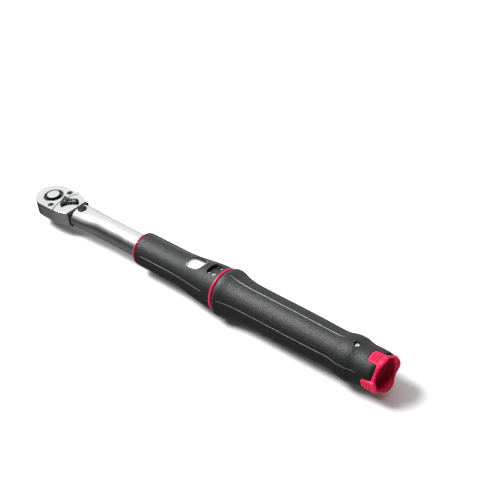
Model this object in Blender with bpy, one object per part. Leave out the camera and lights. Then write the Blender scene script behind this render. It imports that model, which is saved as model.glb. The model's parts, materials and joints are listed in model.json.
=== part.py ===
"""Click-type torque wrench with a 3/8 inch reversible ratchet head, for Blender 4.5.

World frame: metres, +Z up, X from the drive towards the handle's end. The origin is the centre of the drive
square's end face, so the wrench lies level on the drive square and on the handle's flare.
Sizes below are millimetres; MM turns them into metres where a mesh is made. A body is an empty on its joint's
axis, and every piece that moves with it is parented to that empty.
"""

import math

import bmesh
import bpy
from mathutils import Matrix, Vector

MM = 0.001

# Driving dimensions, millimetres.
AXIS_Z = 20.0  # height of the tube's axis over the ground
GAP = 0.3  # clearance between pieces that touch
ROUND = 28  # facets round a turned piece
WIDE = 32  # facets round the housing and the handle
SMALL = 20  # facets round a small turned piece

# Ratchet head.
HEAD_NOSE = 17.0  # drive axis to the front of the head
HEAD_HALF_WIDTH = 15.7
HEAD_HALF_THICK = 6.85
HEAD_REAR = 32.6
SEAM_MID = 13.6  # cover plate's rear edge, on the centre line
SEAM_SIDE = 18.4  # and where it meets the head's flanks
COVER_THICK = 2.2
COVER_SCREW_X = 9.6
COVER_SCREW_Y = 10.9
FLOOR_THICK = 2.3  # floor under the gear
TEETH = 36
GEAR_TIP_R = 10.3
GEAR_ROOT_R = 9.35
GEAR_HUB_R = 8.6
BUTTON_R = 6.3
BUTTON_PROUD = 2.0
BUTTON_STROKE = 2.5
SQUARE = 9.53  # across the flats of the 3/8 inch drive
SQUARE_LENGTH = 11.0
BALL_R = 1.75
BALL_PROUD = 0.75
BALL_HEIGHT = 5.5  # detent ball's centre over the square's end
STEM_R = 1.7

# Reversing lever and pawl.
LEVER_X = 17.8
LEVER_ANGLE = 32.0  # degrees either side of the centre line
LEVER_SHAFT_R = 2.6
PAWL_ANGLE = 5.0  # how far the pawl rocks for LEVER_ANGLE

# Head pivot and tube.
PIN_X = 40.5
PIN_R = 3.0
TANG_END = 65.5
TANG_HALF_THICK = 4.6
TUBE_FRONT = 34.6
TUBE_ROUND_FROM = 62.0  # the tube is oval in front of this
TUBE_END = 331.0
TUBE_R = 10.0
TUBE_WALL = 1.5
OVAL_HALF_Y = 12.1
OVAL_HALF_Z = 8.0

# Torque mechanism inside the tube.
BLOCK_LENGTH = 8.0
BLOCK_WIDTH = 6.0
PLUNGER_LENGTH = 14.0
NUT_X = 160.0
NUT_LENGTH = 12.0
SCALE_TRAVEL = 18.0  # nut's way from the lowest to the highest setting
SLEEVE_END = 211.0
KEY_PIN_R = 1.6
SCREW_R = 4.0
SCREW_FRONT = 141.0
SCREW_END = 355.6
COLLAR_X = 318.0
COLLAR_R = 7.2
CLIP_GROOVE_X = 352.6
CLIP_GROOVE_R = 3.2
RACE_BORE_R = 4.4
RACE_THICK = 1.2

# Housing with the scale windows.
HOUSING_FRONT = 121.5
HOUSING_END = 212.0
HOUSING_R = 14.4
HOUSING_END_R = 18.3
SLEEVE_R = 12.0
LENS_X = 184.0
LENS_SIZE = (18.5, 14.5)  # along the wrench, across it
DIAL_X = 205.0
DIAL_SIZE = (10.5, 12.5)

# Handle and lock cap.
GRIP_FRONT = 215.1
GRIP_END = 367.0
FLARE_R = 20.0
GRIP_BORE_R = 10.5
GRIP_MOUTH_R = 13.6  # bore that takes the cap
SET_SCREW_X = 345.5
SET_SCREW_ANGLE = 93.0  # degrees from +Y towards +Z
TAB_ANGLE = 98.0  # first of four tabs, same sense
TAB_WIDTH = 10.5
TAB_LENGTH = 8.5
CAP_END = 371.5
CAP_TRAVEL = 6.0
CAP_FRONT = 333.0
CAP_INNER_R = 12.0
CAP_WALL = 1.2
CAP_FLOOR = 361.0  # bottom of the cup in the cap's rear face
CAP_DIP = 1.8  # how deep the cap's rim dips between its tabs
PLUG_END = 337.0
SPLINE_START = 333.6
SPLINE_TEETH = 24
SPLINE_TIP_R = 11.3
SPLINE_DEPTH = 0.7

MATERIALS = {
    "chrome": ((0.78, 0.79, 0.80, 1.0), 0.22, 1.0),
    "satin_steel": ((0.62, 0.63, 0.64, 1.0), 0.32, 1.0),
    "black_oxide": ((0.03, 0.03, 0.033, 1.0), 0.35, 0.8),
    "spring_steel": ((0.35, 0.36, 0.38, 1.0), 0.30, 1.0),
    "brass": ((0.72, 0.53, 0.25, 1.0), 0.35, 1.0),
    "black_nylon": ((0.035, 0.035, 0.037, 1.0), 0.55, 0.0),
    "red_plastic": ((0.62, 0.01, 0.045, 1.0), 0.38, 0.0),
    "white_scale": ((0.86, 0.86, 0.84, 1.0), 0.45, 0.0),
    "clear_plastic": ((0.93, 0.96, 0.97, 1.0), 0.05, 0.0),
}

# Body name: where its empty stands, millimetres.
BODIES = {
    "frame": (0.0, 0.0, 0.0),
    "head": (PIN_X, 0.0, AXIS_Z),
    "tilt_block": (TANG_END + 0.4, 0.0, AXIS_Z),
    "plunger": (TANG_END, 0.0, AXIS_Z),
    "drive": (0.0, 0.0, AXIS_Z),
    "button": (0.0, 0.0, AXIS_Z),
    "ball": (0.0, 0.0, BALL_HEIGHT),
    "lever": (LEVER_X, 0.0, AXIS_Z),
    "pawl": (LEVER_X, 0.0, AXIS_Z),
    "handle": (GRIP_FRONT, 0.0, AXIS_Z),
    "lock": (GRIP_END, 0.0, AXIS_Z),
    "scale": (NUT_X, 0.0, AXIS_Z),
}


# ---------------------------------------------------------------- helpers

def clear_scene():
    for thing in list(bpy.data.objects):
        bpy.data.objects.remove(thing, do_unlink=True)


def make_materials():
    made = {}
    for name, (colour, roughness, metallic) in MATERIALS.items():
        material = bpy.data.materials.new(name)
        material.use_nodes = True
        shader = material.node_tree.nodes["Principled BSDF"]
        shader.inputs["Base Color"].default_value = colour
        shader.inputs["Roughness"].default_value = roughness
        shader.inputs["Metallic"].default_value = metallic
        if name == "clear_plastic":
            shader.inputs["Transmission Weight"].default_value = 0.9
        made[name] = material
    return made


def make_bodies():
    made = {}
    for name, place in BODIES.items():
        empty = bpy.data.objects.new("body_" + name, None)
        empty.location = Vector(place) * MM
        empty.empty_display_size = 0.01
        bpy.context.collection.objects.link(empty)
        made[name] = empty
    return made


def add_piece(name, body, mesh, material=None, smooth=35.0):
    """Turns a bmesh in world millimetres into an object whose origin is its body's empty."""
    origin = Vector(BODIES[body])
    bmesh.ops.translate(mesh, verts=mesh.verts, vec=-origin)
    bmesh.ops.scale(mesh, verts=mesh.verts, vec=(MM, MM, MM))
    bmesh.ops.recalc_face_normals(mesh, faces=mesh.faces)
    data = bpy.data.meshes.new(name)
    mesh.to_mesh(data)
    mesh.free()
    data.shade_smooth()
    data.set_sharp_from_angle(angle=math.radians(smooth))
    thing = bpy.data.objects.new(name, data)
    thing.parent = empties[body]
    bpy.context.collection.objects.link(thing)
    if material:
        data.materials.append(materials[material])
    return thing


def boolean(thing, body, mesh, operation="DIFFERENCE"):
    """Cuts a bmesh in world millimetres out of an object, or keeps only what lies inside it."""
    number = len(thing.modifiers) + 1
    cutter = add_piece(f"cut_{thing.name}_{number}", body, mesh)
    cutter.hide_render = True
    cutter.display_type = "WIRE"
    step = thing.modifiers.new(cutter.name, "BOOLEAN")
    step.operation = operation
    step.solver = "EXACT"
    step.object = cutter


def circle_points(count, start=0.0):
    return [start + 2.0 * math.pi * i / count for i in range(count)]


def join_rings(mesh, rings, closed):
    """Faces between successive rings of vertices; a ring of one vertex is a point on the axis."""
    pairs = list(zip(rings, rings[1:]))
    if closed:
        pairs.append((rings[-1], rings[0]))
    for low, high in pairs:
        count = max(len(low), len(high))
        for i in range(count):
            j = (i + 1) % count
            corners = [low[i % len(low)], low[j % len(low)], high[j % len(high)], high[i % len(high)]]
            unique = list(dict.fromkeys(corners))
            if len(unique) > 2:
                mesh.faces.new(unique)


def lathe(profile, axis="X", centre=(0.0, 0.0), count=ROUND, warp=None):
    """A turned solid. Its (station, radius) profile runs from axis to axis, or is a closed loop."""
    mesh = bmesh.new()
    closed = profile[0][1] > 0.0 and profile[-1][1] > 0.0
    rings = []
    for station, radius in profile:
        ring = []
        for angle in circle_points(count if radius > 0.0 else 1):
            s, r = warp(station, radius, angle) if warp else (station, radius)
            u = r * math.cos(angle)
            v = r * math.sin(angle)
            if axis == "X":
                place = (s, centre[0] + u, centre[1] + v)
            else:
                place = (centre[0] + u, centre[1] + v, s)
            ring.append(mesh.verts.new(place))
        rings.append(ring)
    join_rings(mesh, rings, closed)
    return mesh


def turned_x(profile, count=ROUND, warp=None):
    return lathe(profile, "X", (0.0, AXIS_Z), count, warp)


def turned_z(profile, x=0.0, y=0.0, count=SMALL):
    return lathe(profile, "Z", (x, y), count)


def tube_profile(start, end, inner, outer):
    return [(start, inner), (start, outer), (end, outer), (end, inner)]


def rod_profile(start, end, radius, chamfer=0.0):
    if chamfer == 0.0:
        return [(start, 0.0), (start, radius), (end, radius), (end, 0.0)]
    return [(start, 0.0), (start, radius - chamfer), (start + chamfer, radius),
            (end - chamfer, radius), (end, radius - chamfer), (end, 0.0)]


def prism(outline, low, high, chamfer=0.0, centre=(0.0, 0.0)):
    """An outline in X and Y extruded along Z, with both rims drawn in by the chamfer."""
    mesh = bmesh.new()
    levels = [(low, 0.0), (high, 0.0)]
    if chamfer:
        levels = [(low, chamfer), (low + chamfer, 0.0), (high - chamfer, 0.0), (high, chamfer)]
    middle = Vector(centre)
    rings = []
    for level, inset in levels:
        ring = []
        for point in outline:
            arm = Vector(point) - middle
            flat = middle + arm * (1.0 - inset / max(arm.length, 0.001))
            ring.append(mesh.verts.new((flat.x, flat.y, level)))
        rings.append(ring)
    join_rings(mesh, rings, False)
    mesh.faces.new(rings[0])
    mesh.faces.new(rings[-1])
    return mesh


def box(low, high):
    outline = [(low[0], low[1]), (high[0], low[1]), (high[0], high[1]), (low[0], high[1])]
    return prism(outline, low[2], high[2])


def arc(centre, radius, start, end, count):
    """Points on an arc, degrees, both ends included."""
    steps = [math.radians(start + (end - start) * i / (count - 1)) for i in range(count)]
    return [(centre[0] + radius * math.cos(a), centre[1] + radius * math.sin(a)) for a in steps]


def rounded_rectangle(centre, size, radius, count=5):
    half_x = size[0] / 2.0 - radius
    half_y = size[1] / 2.0 - radius
    points = []
    for side, (sx, sy) in enumerate([(1, 1), (-1, 1), (-1, -1), (1, -1)]):
        corner = (centre[0] + sx * half_x, centre[1] + sy * half_y)
        points += arc(corner, radius, 90.0 * side, 90.0 * side + 90.0, count)
    return points


def radial(mesh, angle):
    """Turns a bmesh made above the tube's axis (at 90 degrees) to another angle round it."""
    turn = Matrix.Rotation(math.radians(angle - 90.0), 3, "X")
    bmesh.ops.rotate(mesh, verts=mesh.verts, cent=(0.0, 0.0, AXIS_Z), matrix=turn)
    return mesh


def coil(name, body, material, radius, wire, start, end, turns, axis="X", around=(0.0, 0.0), facets=12):
    """A compression spring as one closed round bar."""
    curve = bpy.data.curves.new(name, "CURVE")
    curve.dimensions = "3D"
    curve.resolution_u = 1
    curve.render_resolution_u = 0
    curve.bevel_depth = wire / 2.0 * MM
    curve.bevel_resolution = 1
    curve.use_fill_caps = True
    steps = int(turns * facets)
    line = curve.splines.new("POLY")
    line.points.add(steps)
    origin = Vector(BODIES[body])
    for i in range(steps + 1):
        angle = 2.0 * math.pi * i / facets
        along = start + wire / 2.0 + (end - start - wire) * i / steps
        u = radius * math.cos(angle)
        v = radius * math.sin(angle)
        if axis == "X":
            place = Vector((along, around[0] + u, around[1] + v))
        else:
            place = Vector((around[0] + u, around[1] + v, along))
        line.points[i].co = (*((place - origin) * MM), 1.0)
    thing = bpy.data.objects.new(name, curve)
    thing.parent = empties[body]
    bpy.context.collection.objects.link(thing)
    curve.materials.append(materials[material])
    return thing


# ---------------------------------------------------------------- ratchet head

DECK_Z = AXIS_Z + HEAD_HALF_THICK
COVER_Z = DECK_Z - COVER_THICK  # underside of the cover plate
FLOOR_Z = AXIS_Z - HEAD_HALF_THICK + FLOOR_THICK  # floor of the gear's well


def seam_points(shift, reach, count=9):
    """The cover's rear edge from +Y to -Y, an arc that bulges to the front and reaches this far sideways."""
    rise = SEAM_SIDE - SEAM_MID
    radius = (rise * rise + HEAD_HALF_WIDTH * HEAD_HALF_WIDTH) / (2.0 * rise)
    centre = (SEAM_MID + radius + shift, 0.0)
    half = math.degrees(math.asin(reach / radius))
    return arc(centre, radius, 180.0 - half, 180.0 + half, count)


def nose_points(count=21):
    """The head's front from the -Y flank round to the +Y flank, half an ellipse."""
    angles = [math.radians(270.0 - 180.0 * i / (count - 1)) for i in range(count)]
    return [(HEAD_NOSE * math.cos(a), HEAD_HALF_WIDTH * math.sin(a)) for a in angles]


def head_outline():
    shoulder = [(SEAM_SIDE, 15.5), (22.5, 14.9), (26.5, 13.8), (30.0, 12.3), (HEAD_REAR, 10.4)]
    far_side = shoulder + [(HEAD_REAR + 0.3, 6.6)]
    near_side = [(x, -y) for x, y in reversed(far_side)]
    return nose_points() + far_side + near_side


def tang_outline():
    far_side = [(HEAD_REAR - 2.0, 6.0), (PIN_X - 3.0, 7.0), (PIN_X + 4.0, 7.0), (50.0, 5.4), (TANG_END, 4.6)]
    return far_side + [(x, -y) for x, y in reversed(far_side)]


def make_head():
    head = add_piece("head_body", "head", prism(head_outline(), AXIS_Z - HEAD_HALF_THICK, DECK_Z, 0.8),
                     "chrome")
    tang = prism(tang_outline(), AXIS_Z - TANG_HALF_THICK, AXIS_Z + TANG_HALF_THICK)
    boolean(head, "head", tang, "UNION")
    front = [(-20.0, -20.0)] + seam_points(0.0, 20.0)[::-1] + [(-20.0, 20.0)]
    boolean(head, "head", prism(front, COVER_Z - GAP, DECK_Z + 3.0))
    boolean(head, "head", turned_z(rod_profile(FLOOR_Z, COVER_Z + 1.0, GEAR_TIP_R + 0.4), count=36))
    hub_hole = rod_profile(AXIS_Z - 12.0, FLOOR_Z + 1.0, 8.0)
    boolean(head, "head", turned_z(hub_hole, count=ROUND))
    well = [(6.0, -9.6), (16.0, -9.6), (24.2, -5.5), (24.2, 5.5), (16.0, 9.6), (6.0, 9.6)]
    boolean(head, "head", prism(well, FLOOR_Z, COVER_Z - GAP + 0.01))
    shaft_hole = rod_profile(COVER_Z - 2.0, DECK_Z + 2.0, LEVER_SHAFT_R + GAP)
    boolean(head, "head", turned_z(shaft_hole, LEVER_X))
    boolean(head, "head", turned_z(rod_profile(AXIS_Z - 8.0, AXIS_Z + 8.0, PIN_R + GAP), PIN_X))
    for side in (-1, 1):
        tapped = rod_profile(COVER_Z - 6.0, COVER_Z + 1.0, 1.5)
        boolean(head, "head", turned_z(tapped, COVER_SCREW_X, side * COVER_SCREW_Y, 12))


def make_cover():
    outline = nose_points() + seam_points(-GAP, HEAD_HALF_WIDTH - 0.2)
    cover = add_piece("cover_plate", "head", prism(outline, COVER_Z, DECK_Z, 0.5), "chrome")
    boolean(cover, "head", turned_z(rod_profile(COVER_Z - 1.0, DECK_Z + 1.0, GEAR_HUB_R + GAP), count=ROUND))
    for number, side in ((1, 1), (2, -1)):
        y = side * COVER_SCREW_Y
        sink = [(COVER_Z - 1.0, 0.0), (COVER_Z - 1.0, 1.5), (COVER_Z + 0.6, 1.5), (DECK_Z, 2.9),
                (DECK_Z + 1.0, 2.9), (DECK_Z + 1.0, 0.0)]
        boolean(cover, "head", turned_z(sink, COVER_SCREW_X, y))
        screw = [(COVER_Z - 4.5, 0.0), (COVER_Z - 4.5, 1.2), (COVER_Z + 0.7, 1.2), (DECK_Z - 0.3, 2.45),
                 (DECK_Z - 0.15, 2.45), (DECK_Z - 0.15, 0.0)]
        turned = turned_z(screw, COVER_SCREW_X, y, 16)
        made = add_piece(f"cover_screw_{number}", "head", turned, "black_oxide")
        hexagon = [(COVER_SCREW_X + 1.1 * math.cos(a), y + 1.1 * math.sin(a)) for a in circle_points(6)]
        boolean(made, "head", prism(hexagon, DECK_Z - 1.2, DECK_Z + 1.0))


def gear_tooth_ring(tip, root, count=TEETH):
    points = []
    pitch = 2.0 * math.pi / count
    for i in range(count):
        for offset, radius in ((-0.08, tip), (0.08, tip), (0.42, root), (0.58, root)):
            angle = (i + offset) * pitch
            points.append((radius * math.cos(angle), radius * math.sin(angle)))
    return points


def make_drive():
    gear_low = FLOOR_Z + GAP
    gear_high = COVER_Z - GAP
    hub_end = SQUARE_LENGTH
    toothed = prism(gear_tooth_ring(GEAR_TIP_R, GEAR_ROOT_R), gear_low, gear_high)
    gear = add_piece("drive_gear", "drive", toothed, "satin_steel")
    hub = [(hub_end, 0.0), (hub_end, 7.2), (hub_end + 0.5, 7.7), (gear_low + 1.0, 7.7),
           (gear_high - 1.0, GEAR_HUB_R), (DECK_Z - 0.5, GEAR_HUB_R), (DECK_Z, GEAR_HUB_R - 0.5),
           (DECK_Z, 0.0)]
    boolean(gear, "drive", turned_z(hub, count=ROUND), "UNION")
    half = SQUARE / 2.0
    square = rounded_rectangle((0.0, 0.0), (SQUARE, SQUARE), 0.9, 3)
    boolean(gear, "drive", prism(square, 0.0, hub_end + 1.0, 0.5), "UNION")
    pocket = [(1.3, 0.0), (1.3, STEM_R + GAP), (AXIS_Z + 0.5, STEM_R + GAP), (AXIS_Z + 0.5, BUTTON_R + GAP),
              (DECK_Z + 2.0, BUTTON_R + GAP), (DECK_Z + 2.0, 0.0)]
    boolean(gear, "drive", turned_z(pocket, count=24))
    ball_hole = lathe(rod_profile(0.0, half + 1.0, BALL_R + 0.2), "Z", (0.0, 0.0), 16)
    quarter = Matrix.Rotation(math.radians(90.0), 3, "X")
    bmesh.ops.rotate(ball_hole, verts=ball_hole.verts, cent=(0.0, 0.0, 0.0), matrix=quarter)
    bmesh.ops.translate(ball_hole, verts=ball_hole.verts, vec=(0.0, 0.0, BALL_HEIGHT))
    boolean(gear, "drive", ball_hole)


def make_release():
    skirt = AXIS_Z + 0.8 + BUTTON_STROKE
    top = DECK_Z + BUTTON_PROUD
    ramp = (STEM_R - 1.0) / BUTTON_STROKE
    button = [(BALL_HEIGHT - 1.3, 0.0), (BALL_HEIGHT - 1.3, STEM_R), (BALL_HEIGHT, STEM_R),
              (BALL_HEIGHT + BUTTON_STROKE + 0.4, STEM_R - ramp * (BUTTON_STROKE + 0.4)),
              (BALL_HEIGHT + BUTTON_STROKE + 1.2, STEM_R), (skirt, STEM_R), (skirt, BUTTON_R),
              (DECK_Z + 0.2, BUTTON_R), (top - 0.5, BUTTON_R - 0.9), (top, BUTTON_R - 1.6), (top + 0.25, 0.0)]
    add_piece("release_button", "button", turned_z(button, count=ROUND), "chrome")
    coil("release_spring", "drive", "spring_steel", 4.2, 0.7, AXIS_Z + 0.8, skirt - GAP, 2.5, "Z", facets=10)
    ball = bmesh.new()
    bmesh.ops.create_icosphere(ball, subdivisions=2, radius=BALL_R)
    centre = SQUARE / 2.0 - BALL_R + BALL_PROUD
    bmesh.ops.translate(ball, verts=ball.verts, vec=(0.0, -centre, BALL_HEIGHT))
    add_piece("detent_ball", "ball", ball, "satin_steel")


def turn_about_lever(mesh, degrees):
    turn = Matrix.Rotation(math.radians(degrees), 3, "Z")
    bmesh.ops.rotate(mesh, verts=mesh.verts, cent=(LEVER_X, 0.0, 0.0), matrix=turn)
    return mesh


def make_lever():
    foot = DECK_Z + GAP
    wide = [(-3.6, 5.9), (-2.6, 6.6), (0.5, 5.0), (4.0, 3.2), (8.5, 2.3)]
    tip = arc((9.6, 0.0), 2.2, 75.0, -75.0, 7)
    front = [(-4.2, 0.0)]
    outline = wide + tip + [(x, -y) for x, y in reversed(wide)] + front
    blade = prism([(LEVER_X + x, y) for x, y in outline], foot, foot + 2.6, 0.6, (LEVER_X, 0.0))
    lever = add_piece("reversing_lever", "lever", turn_about_lever(blade, LEVER_ANGLE), "black_oxide")
    shaft = turned_z(rod_profile(FLOOR_Z + GAP, foot + 1.0, LEVER_SHAFT_R), LEVER_X)
    boolean(lever, "lever", shaft, "UNION")
    drilled = lathe(rod_profile(0.3, LEVER_SHAFT_R + 1.0, 1.25), "X", (0.0, AXIS_Z), 12)
    bmesh.ops.translate(drilled, verts=drilled.verts, vec=(LEVER_X, 0.0, 0.0))
    boolean(lever, "lever", turn_about_lever(drilled, LEVER_ANGLE))
    ball = bmesh.new()
    bmesh.ops.create_icosphere(ball, subdivisions=2, radius=1.0)
    place = Matrix.Rotation(math.radians(LEVER_ANGLE), 3, "Z") @ Vector((3.2, 0.0, 0.0))
    bmesh.ops.translate(ball, verts=ball.verts, vec=(LEVER_X + place.x, place.y, AXIS_Z))
    add_piece("pawl_ball", "lever", ball, "satin_steel")


def make_pawl():
    """A rocking pawl with two teeth at each end; the +Y end is in mesh."""
    root = 11.3
    pitch = 2.0 * math.pi / TEETH
    flank = 0.9  # half width of a tooth for each millimetre of height, as on the gear
    tip_r = GEAR_ROOT_R + 0.35
    valley_r = tip_r + pitch * tip_r / 2.0 / flank
    face = []
    for number in (2.0, 2.5, 3.0, 3.5, 4.0):
        radius = tip_r if number in (2.5, 3.5) else valley_r
        angle = number * pitch
        face.append(Vector((radius * math.cos(angle), radius * math.sin(angle))))
    pivot = Vector((LEVER_X, 0.0))
    back = Matrix.Rotation(math.radians(-PAWL_ANGLE), 2)
    upper = [tuple(pivot + back @ (point - pivot)) for point in face]
    lower = [(x, -y) for x, y in reversed(upper)]
    middle = arc((0.0, 0.0), root, -12.0, 12.0, 4)
    heel = arc((LEVER_X, 0.0), 5.6, 60.0, -60.0, 9)
    outline = lower + middle + upper + heel
    mesh = prism(outline, FLOOR_Z + GAP, COVER_Z - 2.0 * GAP)
    pawl = add_piece("pawl", "pawl", turn_about_lever(mesh, PAWL_ANGLE), "satin_steel")
    boolean(pawl, "pawl", turned_z(rod_profile(FLOOR_Z - 1.0, COVER_Z + 1.0, LEVER_SHAFT_R + GAP), LEVER_X))
    room = arc((LEVER_X, 0.0), 4.55, -54.0, 54.0, 9) + [(LEVER_X - 1.5, 0.0)]
    boolean(pawl, "pawl", turn_about_lever(prism(room, AXIS_Z - 1.6, AXIS_Z + 1.6), PAWL_ANGLE))


# ---------------------------------------------------------------- tube and torque mechanism

def oval_section(x, shrink):
    """Half width and half height of the tube at a station, less the wall."""
    share = min(max((TUBE_ROUND_FROM - x) / (TUBE_ROUND_FROM - PIN_X - 5.0), 0.0), 1.0)
    blend = share * share * (3.0 - 2.0 * share)
    half_y = TUBE_R + (OVAL_HALF_Y - TUBE_R) * blend
    half_z = TUBE_R + (OVAL_HALF_Z - TUBE_R) * blend
    return half_y - shrink, half_z - shrink


def make_tube():
    mesh = bmesh.new()
    stations = [TUBE_FRONT, 45.0, 48.5, 52.0, 55.5, 59.0, TUBE_ROUND_FROM, TUBE_END]
    rings = []
    for shrink, path in ((0.0, stations), (TUBE_WALL, stations[::-1])):
        for x in path:
            half_y, half_z = oval_section(x, shrink)
            ring = [mesh.verts.new((x, half_y * math.cos(a), AXIS_Z + half_z * math.sin(a)))
                    for a in circle_points(ROUND)]
            rings.append(ring)
    join_rings(mesh, rings, True)
    tube = add_piece("tube", "frame", mesh, "satin_steel")
    boolean(tube, "frame", turned_z(rod_profile(AXIS_Z - 12.0, AXIS_Z + 12.0, PIN_R + GAP), PIN_X))
    slot_low = NUT_X + NUT_LENGTH / 2.0 - SCALE_TRAVEL - 2.4
    slot_high = NUT_X + NUT_LENGTH / 2.0 + 2.4
    boolean(tube, "frame", box((slot_low, -14.0, AXIS_Z - 2.2), (slot_high, 14.0, AXIS_Z + 2.2)))
    foot = AXIS_Z - 8.4
    head = AXIS_Z + 8.4
    pin = [(foot, 0.0), (foot, PIN_R - 0.4), (foot + 0.4, PIN_R), (head, PIN_R), (head, 4.1),
           (head + 0.5, 4.1), (head + 1.1, 3.4), (head + 1.5, 2.0), (head + 1.6, 0.0)]
    add_piece("pivot_pin", "frame", turned_z(pin, PIN_X, count=24), "black_oxide")


def make_click_mechanism():
    block_low = TANG_END + 0.4
    block_high = block_low + BLOCK_LENGTH
    half = BLOCK_WIDTH / 2.0
    chamfer = 0.6
    outline = [(block_low, half - chamfer), (block_low + chamfer, half), (block_high - chamfer, half),
               (block_high, half - chamfer)]
    outline = outline + [(x, -y) for x, y in reversed(outline)]
    add_piece("tilt_block", "tilt_block", prism(outline, AXIS_Z - half, AXIS_Z + half), "satin_steel")
    front = block_high + 0.4
    rear = front + PLUNGER_LENGTH
    bore = TUBE_R - TUBE_WALL
    plunger = [(front, 0.0), (front, bore - 1.6), (front + 1.0, bore - GAP - 0.1), (rear, bore - GAP - 0.1),
               (rear, 0.0)]
    add_piece("plunger", "plunger", turned_x(plunger, 24), "satin_steel")
    washer = tube_profile(rear + 0.6, rear + 1.8, 4.6, bore - 0.5)
    add_piece("spring_washer_front", "plunger", turned_x(washer, 24), "spring_steel")
    nut_washer = tube_profile(NUT_X - 1.6, NUT_X - 0.4, 4.6, bore - 0.5)
    add_piece("spring_washer_rear", "scale", turned_x(nut_washer, 24), "spring_steel")
    coil("main_spring", "frame", "spring_steel", 6.3, 2.8, rear + 2.3, NUT_X - 2.1, 11.0, "X", (0.0, AXIS_Z))


def make_scale_carriage():
    bore = TUBE_R - TUBE_WALL
    nut = tube_profile(NUT_X, NUT_X + NUT_LENGTH, SCREW_R + GAP, bore - GAP)
    load_nut = add_piece("load_nut", "scale", turned_x(nut, 24), "brass")
    middle = NUT_X + NUT_LENGTH / 2.0
    sleeve_ring = tube_profile(NUT_X + 2.0, SLEEVE_END, TUBE_R + 2.0 * GAP, SLEEVE_R)
    sleeve = add_piece("scale_sleeve", "scale", turned_x(sleeve_ring), "white_scale")
    hole = rod_profile(AXIS_Z + 5.6, AXIS_Z + 16.0, KEY_PIN_R + GAP / 2.0)
    key_pin = rod_profile(AXIS_Z + 6.0, AXIS_Z + SLEEVE_R - 0.1, KEY_PIN_R)
    for number, angle in ((1, 0.0), (2, 180.0)):
        for drilled in (load_nut, sleeve):
            boolean(drilled, "scale", radial(turned_z(hole, middle, count=12), angle))
        pin = radial(turned_z(key_pin, middle, count=12), angle)
        add_piece(f"key_pin_{number}", "scale", pin, "satin_steel")


def make_screw_and_bearing():
    bore = TUBE_R - TUBE_WALL
    collar_end = COLLAR_X + 3.0
    groove_end = CLIP_GROOVE_X + 1.0
    screw = [(SCREW_FRONT, 0.0), (SCREW_FRONT, SCREW_R - 0.8), (SCREW_FRONT + 0.8, SCREW_R),
             (COLLAR_X, SCREW_R), (COLLAR_X, COLLAR_R), (collar_end, COLLAR_R), (collar_end, SCREW_R),
             (CLIP_GROOVE_X, SCREW_R), (CLIP_GROOVE_X, CLIP_GROOVE_R), (groove_end, CLIP_GROOVE_R),
             (groove_end, SCREW_R),
             (SCREW_END - 0.6, SCREW_R), (SCREW_END, SCREW_R - 0.6), (SCREW_END, 0.0)]
    load_screw = add_piece("load_screw", "handle", turned_x(screw, SMALL), "satin_steel")
    flat = box((SET_SCREW_X - 4.5, -6.0, AXIS_Z + 3.3), (SET_SCREW_X + 4.5, 6.0, AXIS_Z + 6.0))
    boolean(load_screw, "handle", radial(flat, SET_SCREW_ANGLE))
    ring = tube_profile(CLIP_GROOVE_X + 0.2, groove_end - 0.2, CLIP_GROOVE_R + 0.15, 6.2)
    clip = add_piece("retaining_clip", "handle", turned_x(ring, SMALL), "spring_steel")
    boolean(clip, "handle", box((CLIP_GROOVE_X, -2.0, AXIS_Z - 8.0), (groove_end, 2.0, AXIS_Z - 1.0)))
    race = collar_end + GAP
    race_ring = tube_profile(race, race + RACE_THICK, RACE_BORE_R, bore - 0.4)
    add_piece("thrust_race_front", "handle", turned_x(race_ring, 24), "satin_steel")
    cage = race + RACE_THICK + GAP
    ball_ring = [(cage, 5.4), (cage, 7.0), (cage + 1.0, 7.8), (cage + 2.0, 7.0), (cage + 2.0, 5.4),
                 (cage + 1.0, 4.7)]
    add_piece("thrust_ball_ring", "frame", turned_x(ball_ring, 24), "spring_steel")
    rear_race = cage + 2.0 + GAP
    race_ring = tube_profile(rear_race, rear_race + RACE_THICK, RACE_BORE_R, bore - 0.4)
    add_piece("thrust_race_rear", "frame", turned_x(race_ring, 24), "satin_steel")
    plug = rear_race + RACE_THICK + GAP
    shoulder = TUBE_END + GAP
    shoulder_r = TUBE_R + 0.2
    shape = [(plug, SCREW_R + GAP), (plug, bore - GAP), (shoulder, bore - GAP), (shoulder, shoulder_r),
             (PLUG_END, shoulder_r), (PLUG_END, SCREW_R + GAP)]
    end_plug = add_piece("end_plug", "frame", turned_x(shape, ROUND), "black_oxide")
    spline = tube_profile(SPLINE_START, PLUG_END - 0.01, SCREW_R + 2.0, SPLINE_TIP_R)
    boolean(end_plug, "frame", turned_x(spline, 2 * SPLINE_TEETH, serrated), "UNION")


def serrated(station, radius, angle):
    """Every second point of a ring of 2 x SPLINE_TEETH lies deeper, on radii past the hub's."""
    if radius < SPLINE_TIP_R:
        return station, radius
    step = round(angle / (math.pi / SPLINE_TEETH))
    return station, radius - SPLINE_DEPTH * (step % 2)


# ---------------------------------------------------------------- housing and windows

def housing_outer():
    return [(HOUSING_FRONT, HOUSING_R - 0.8), (HOUSING_FRONT + 0.8, HOUSING_R), (166.0, HOUSING_R + 0.1),
            (174.0, 14.9), (184.0, 16.0), (196.0, 17.4), (206.0, 18.15), (HOUSING_END - 0.4, HOUSING_END_R),
            (HOUSING_END, HOUSING_END_R - 0.4)]


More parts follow.
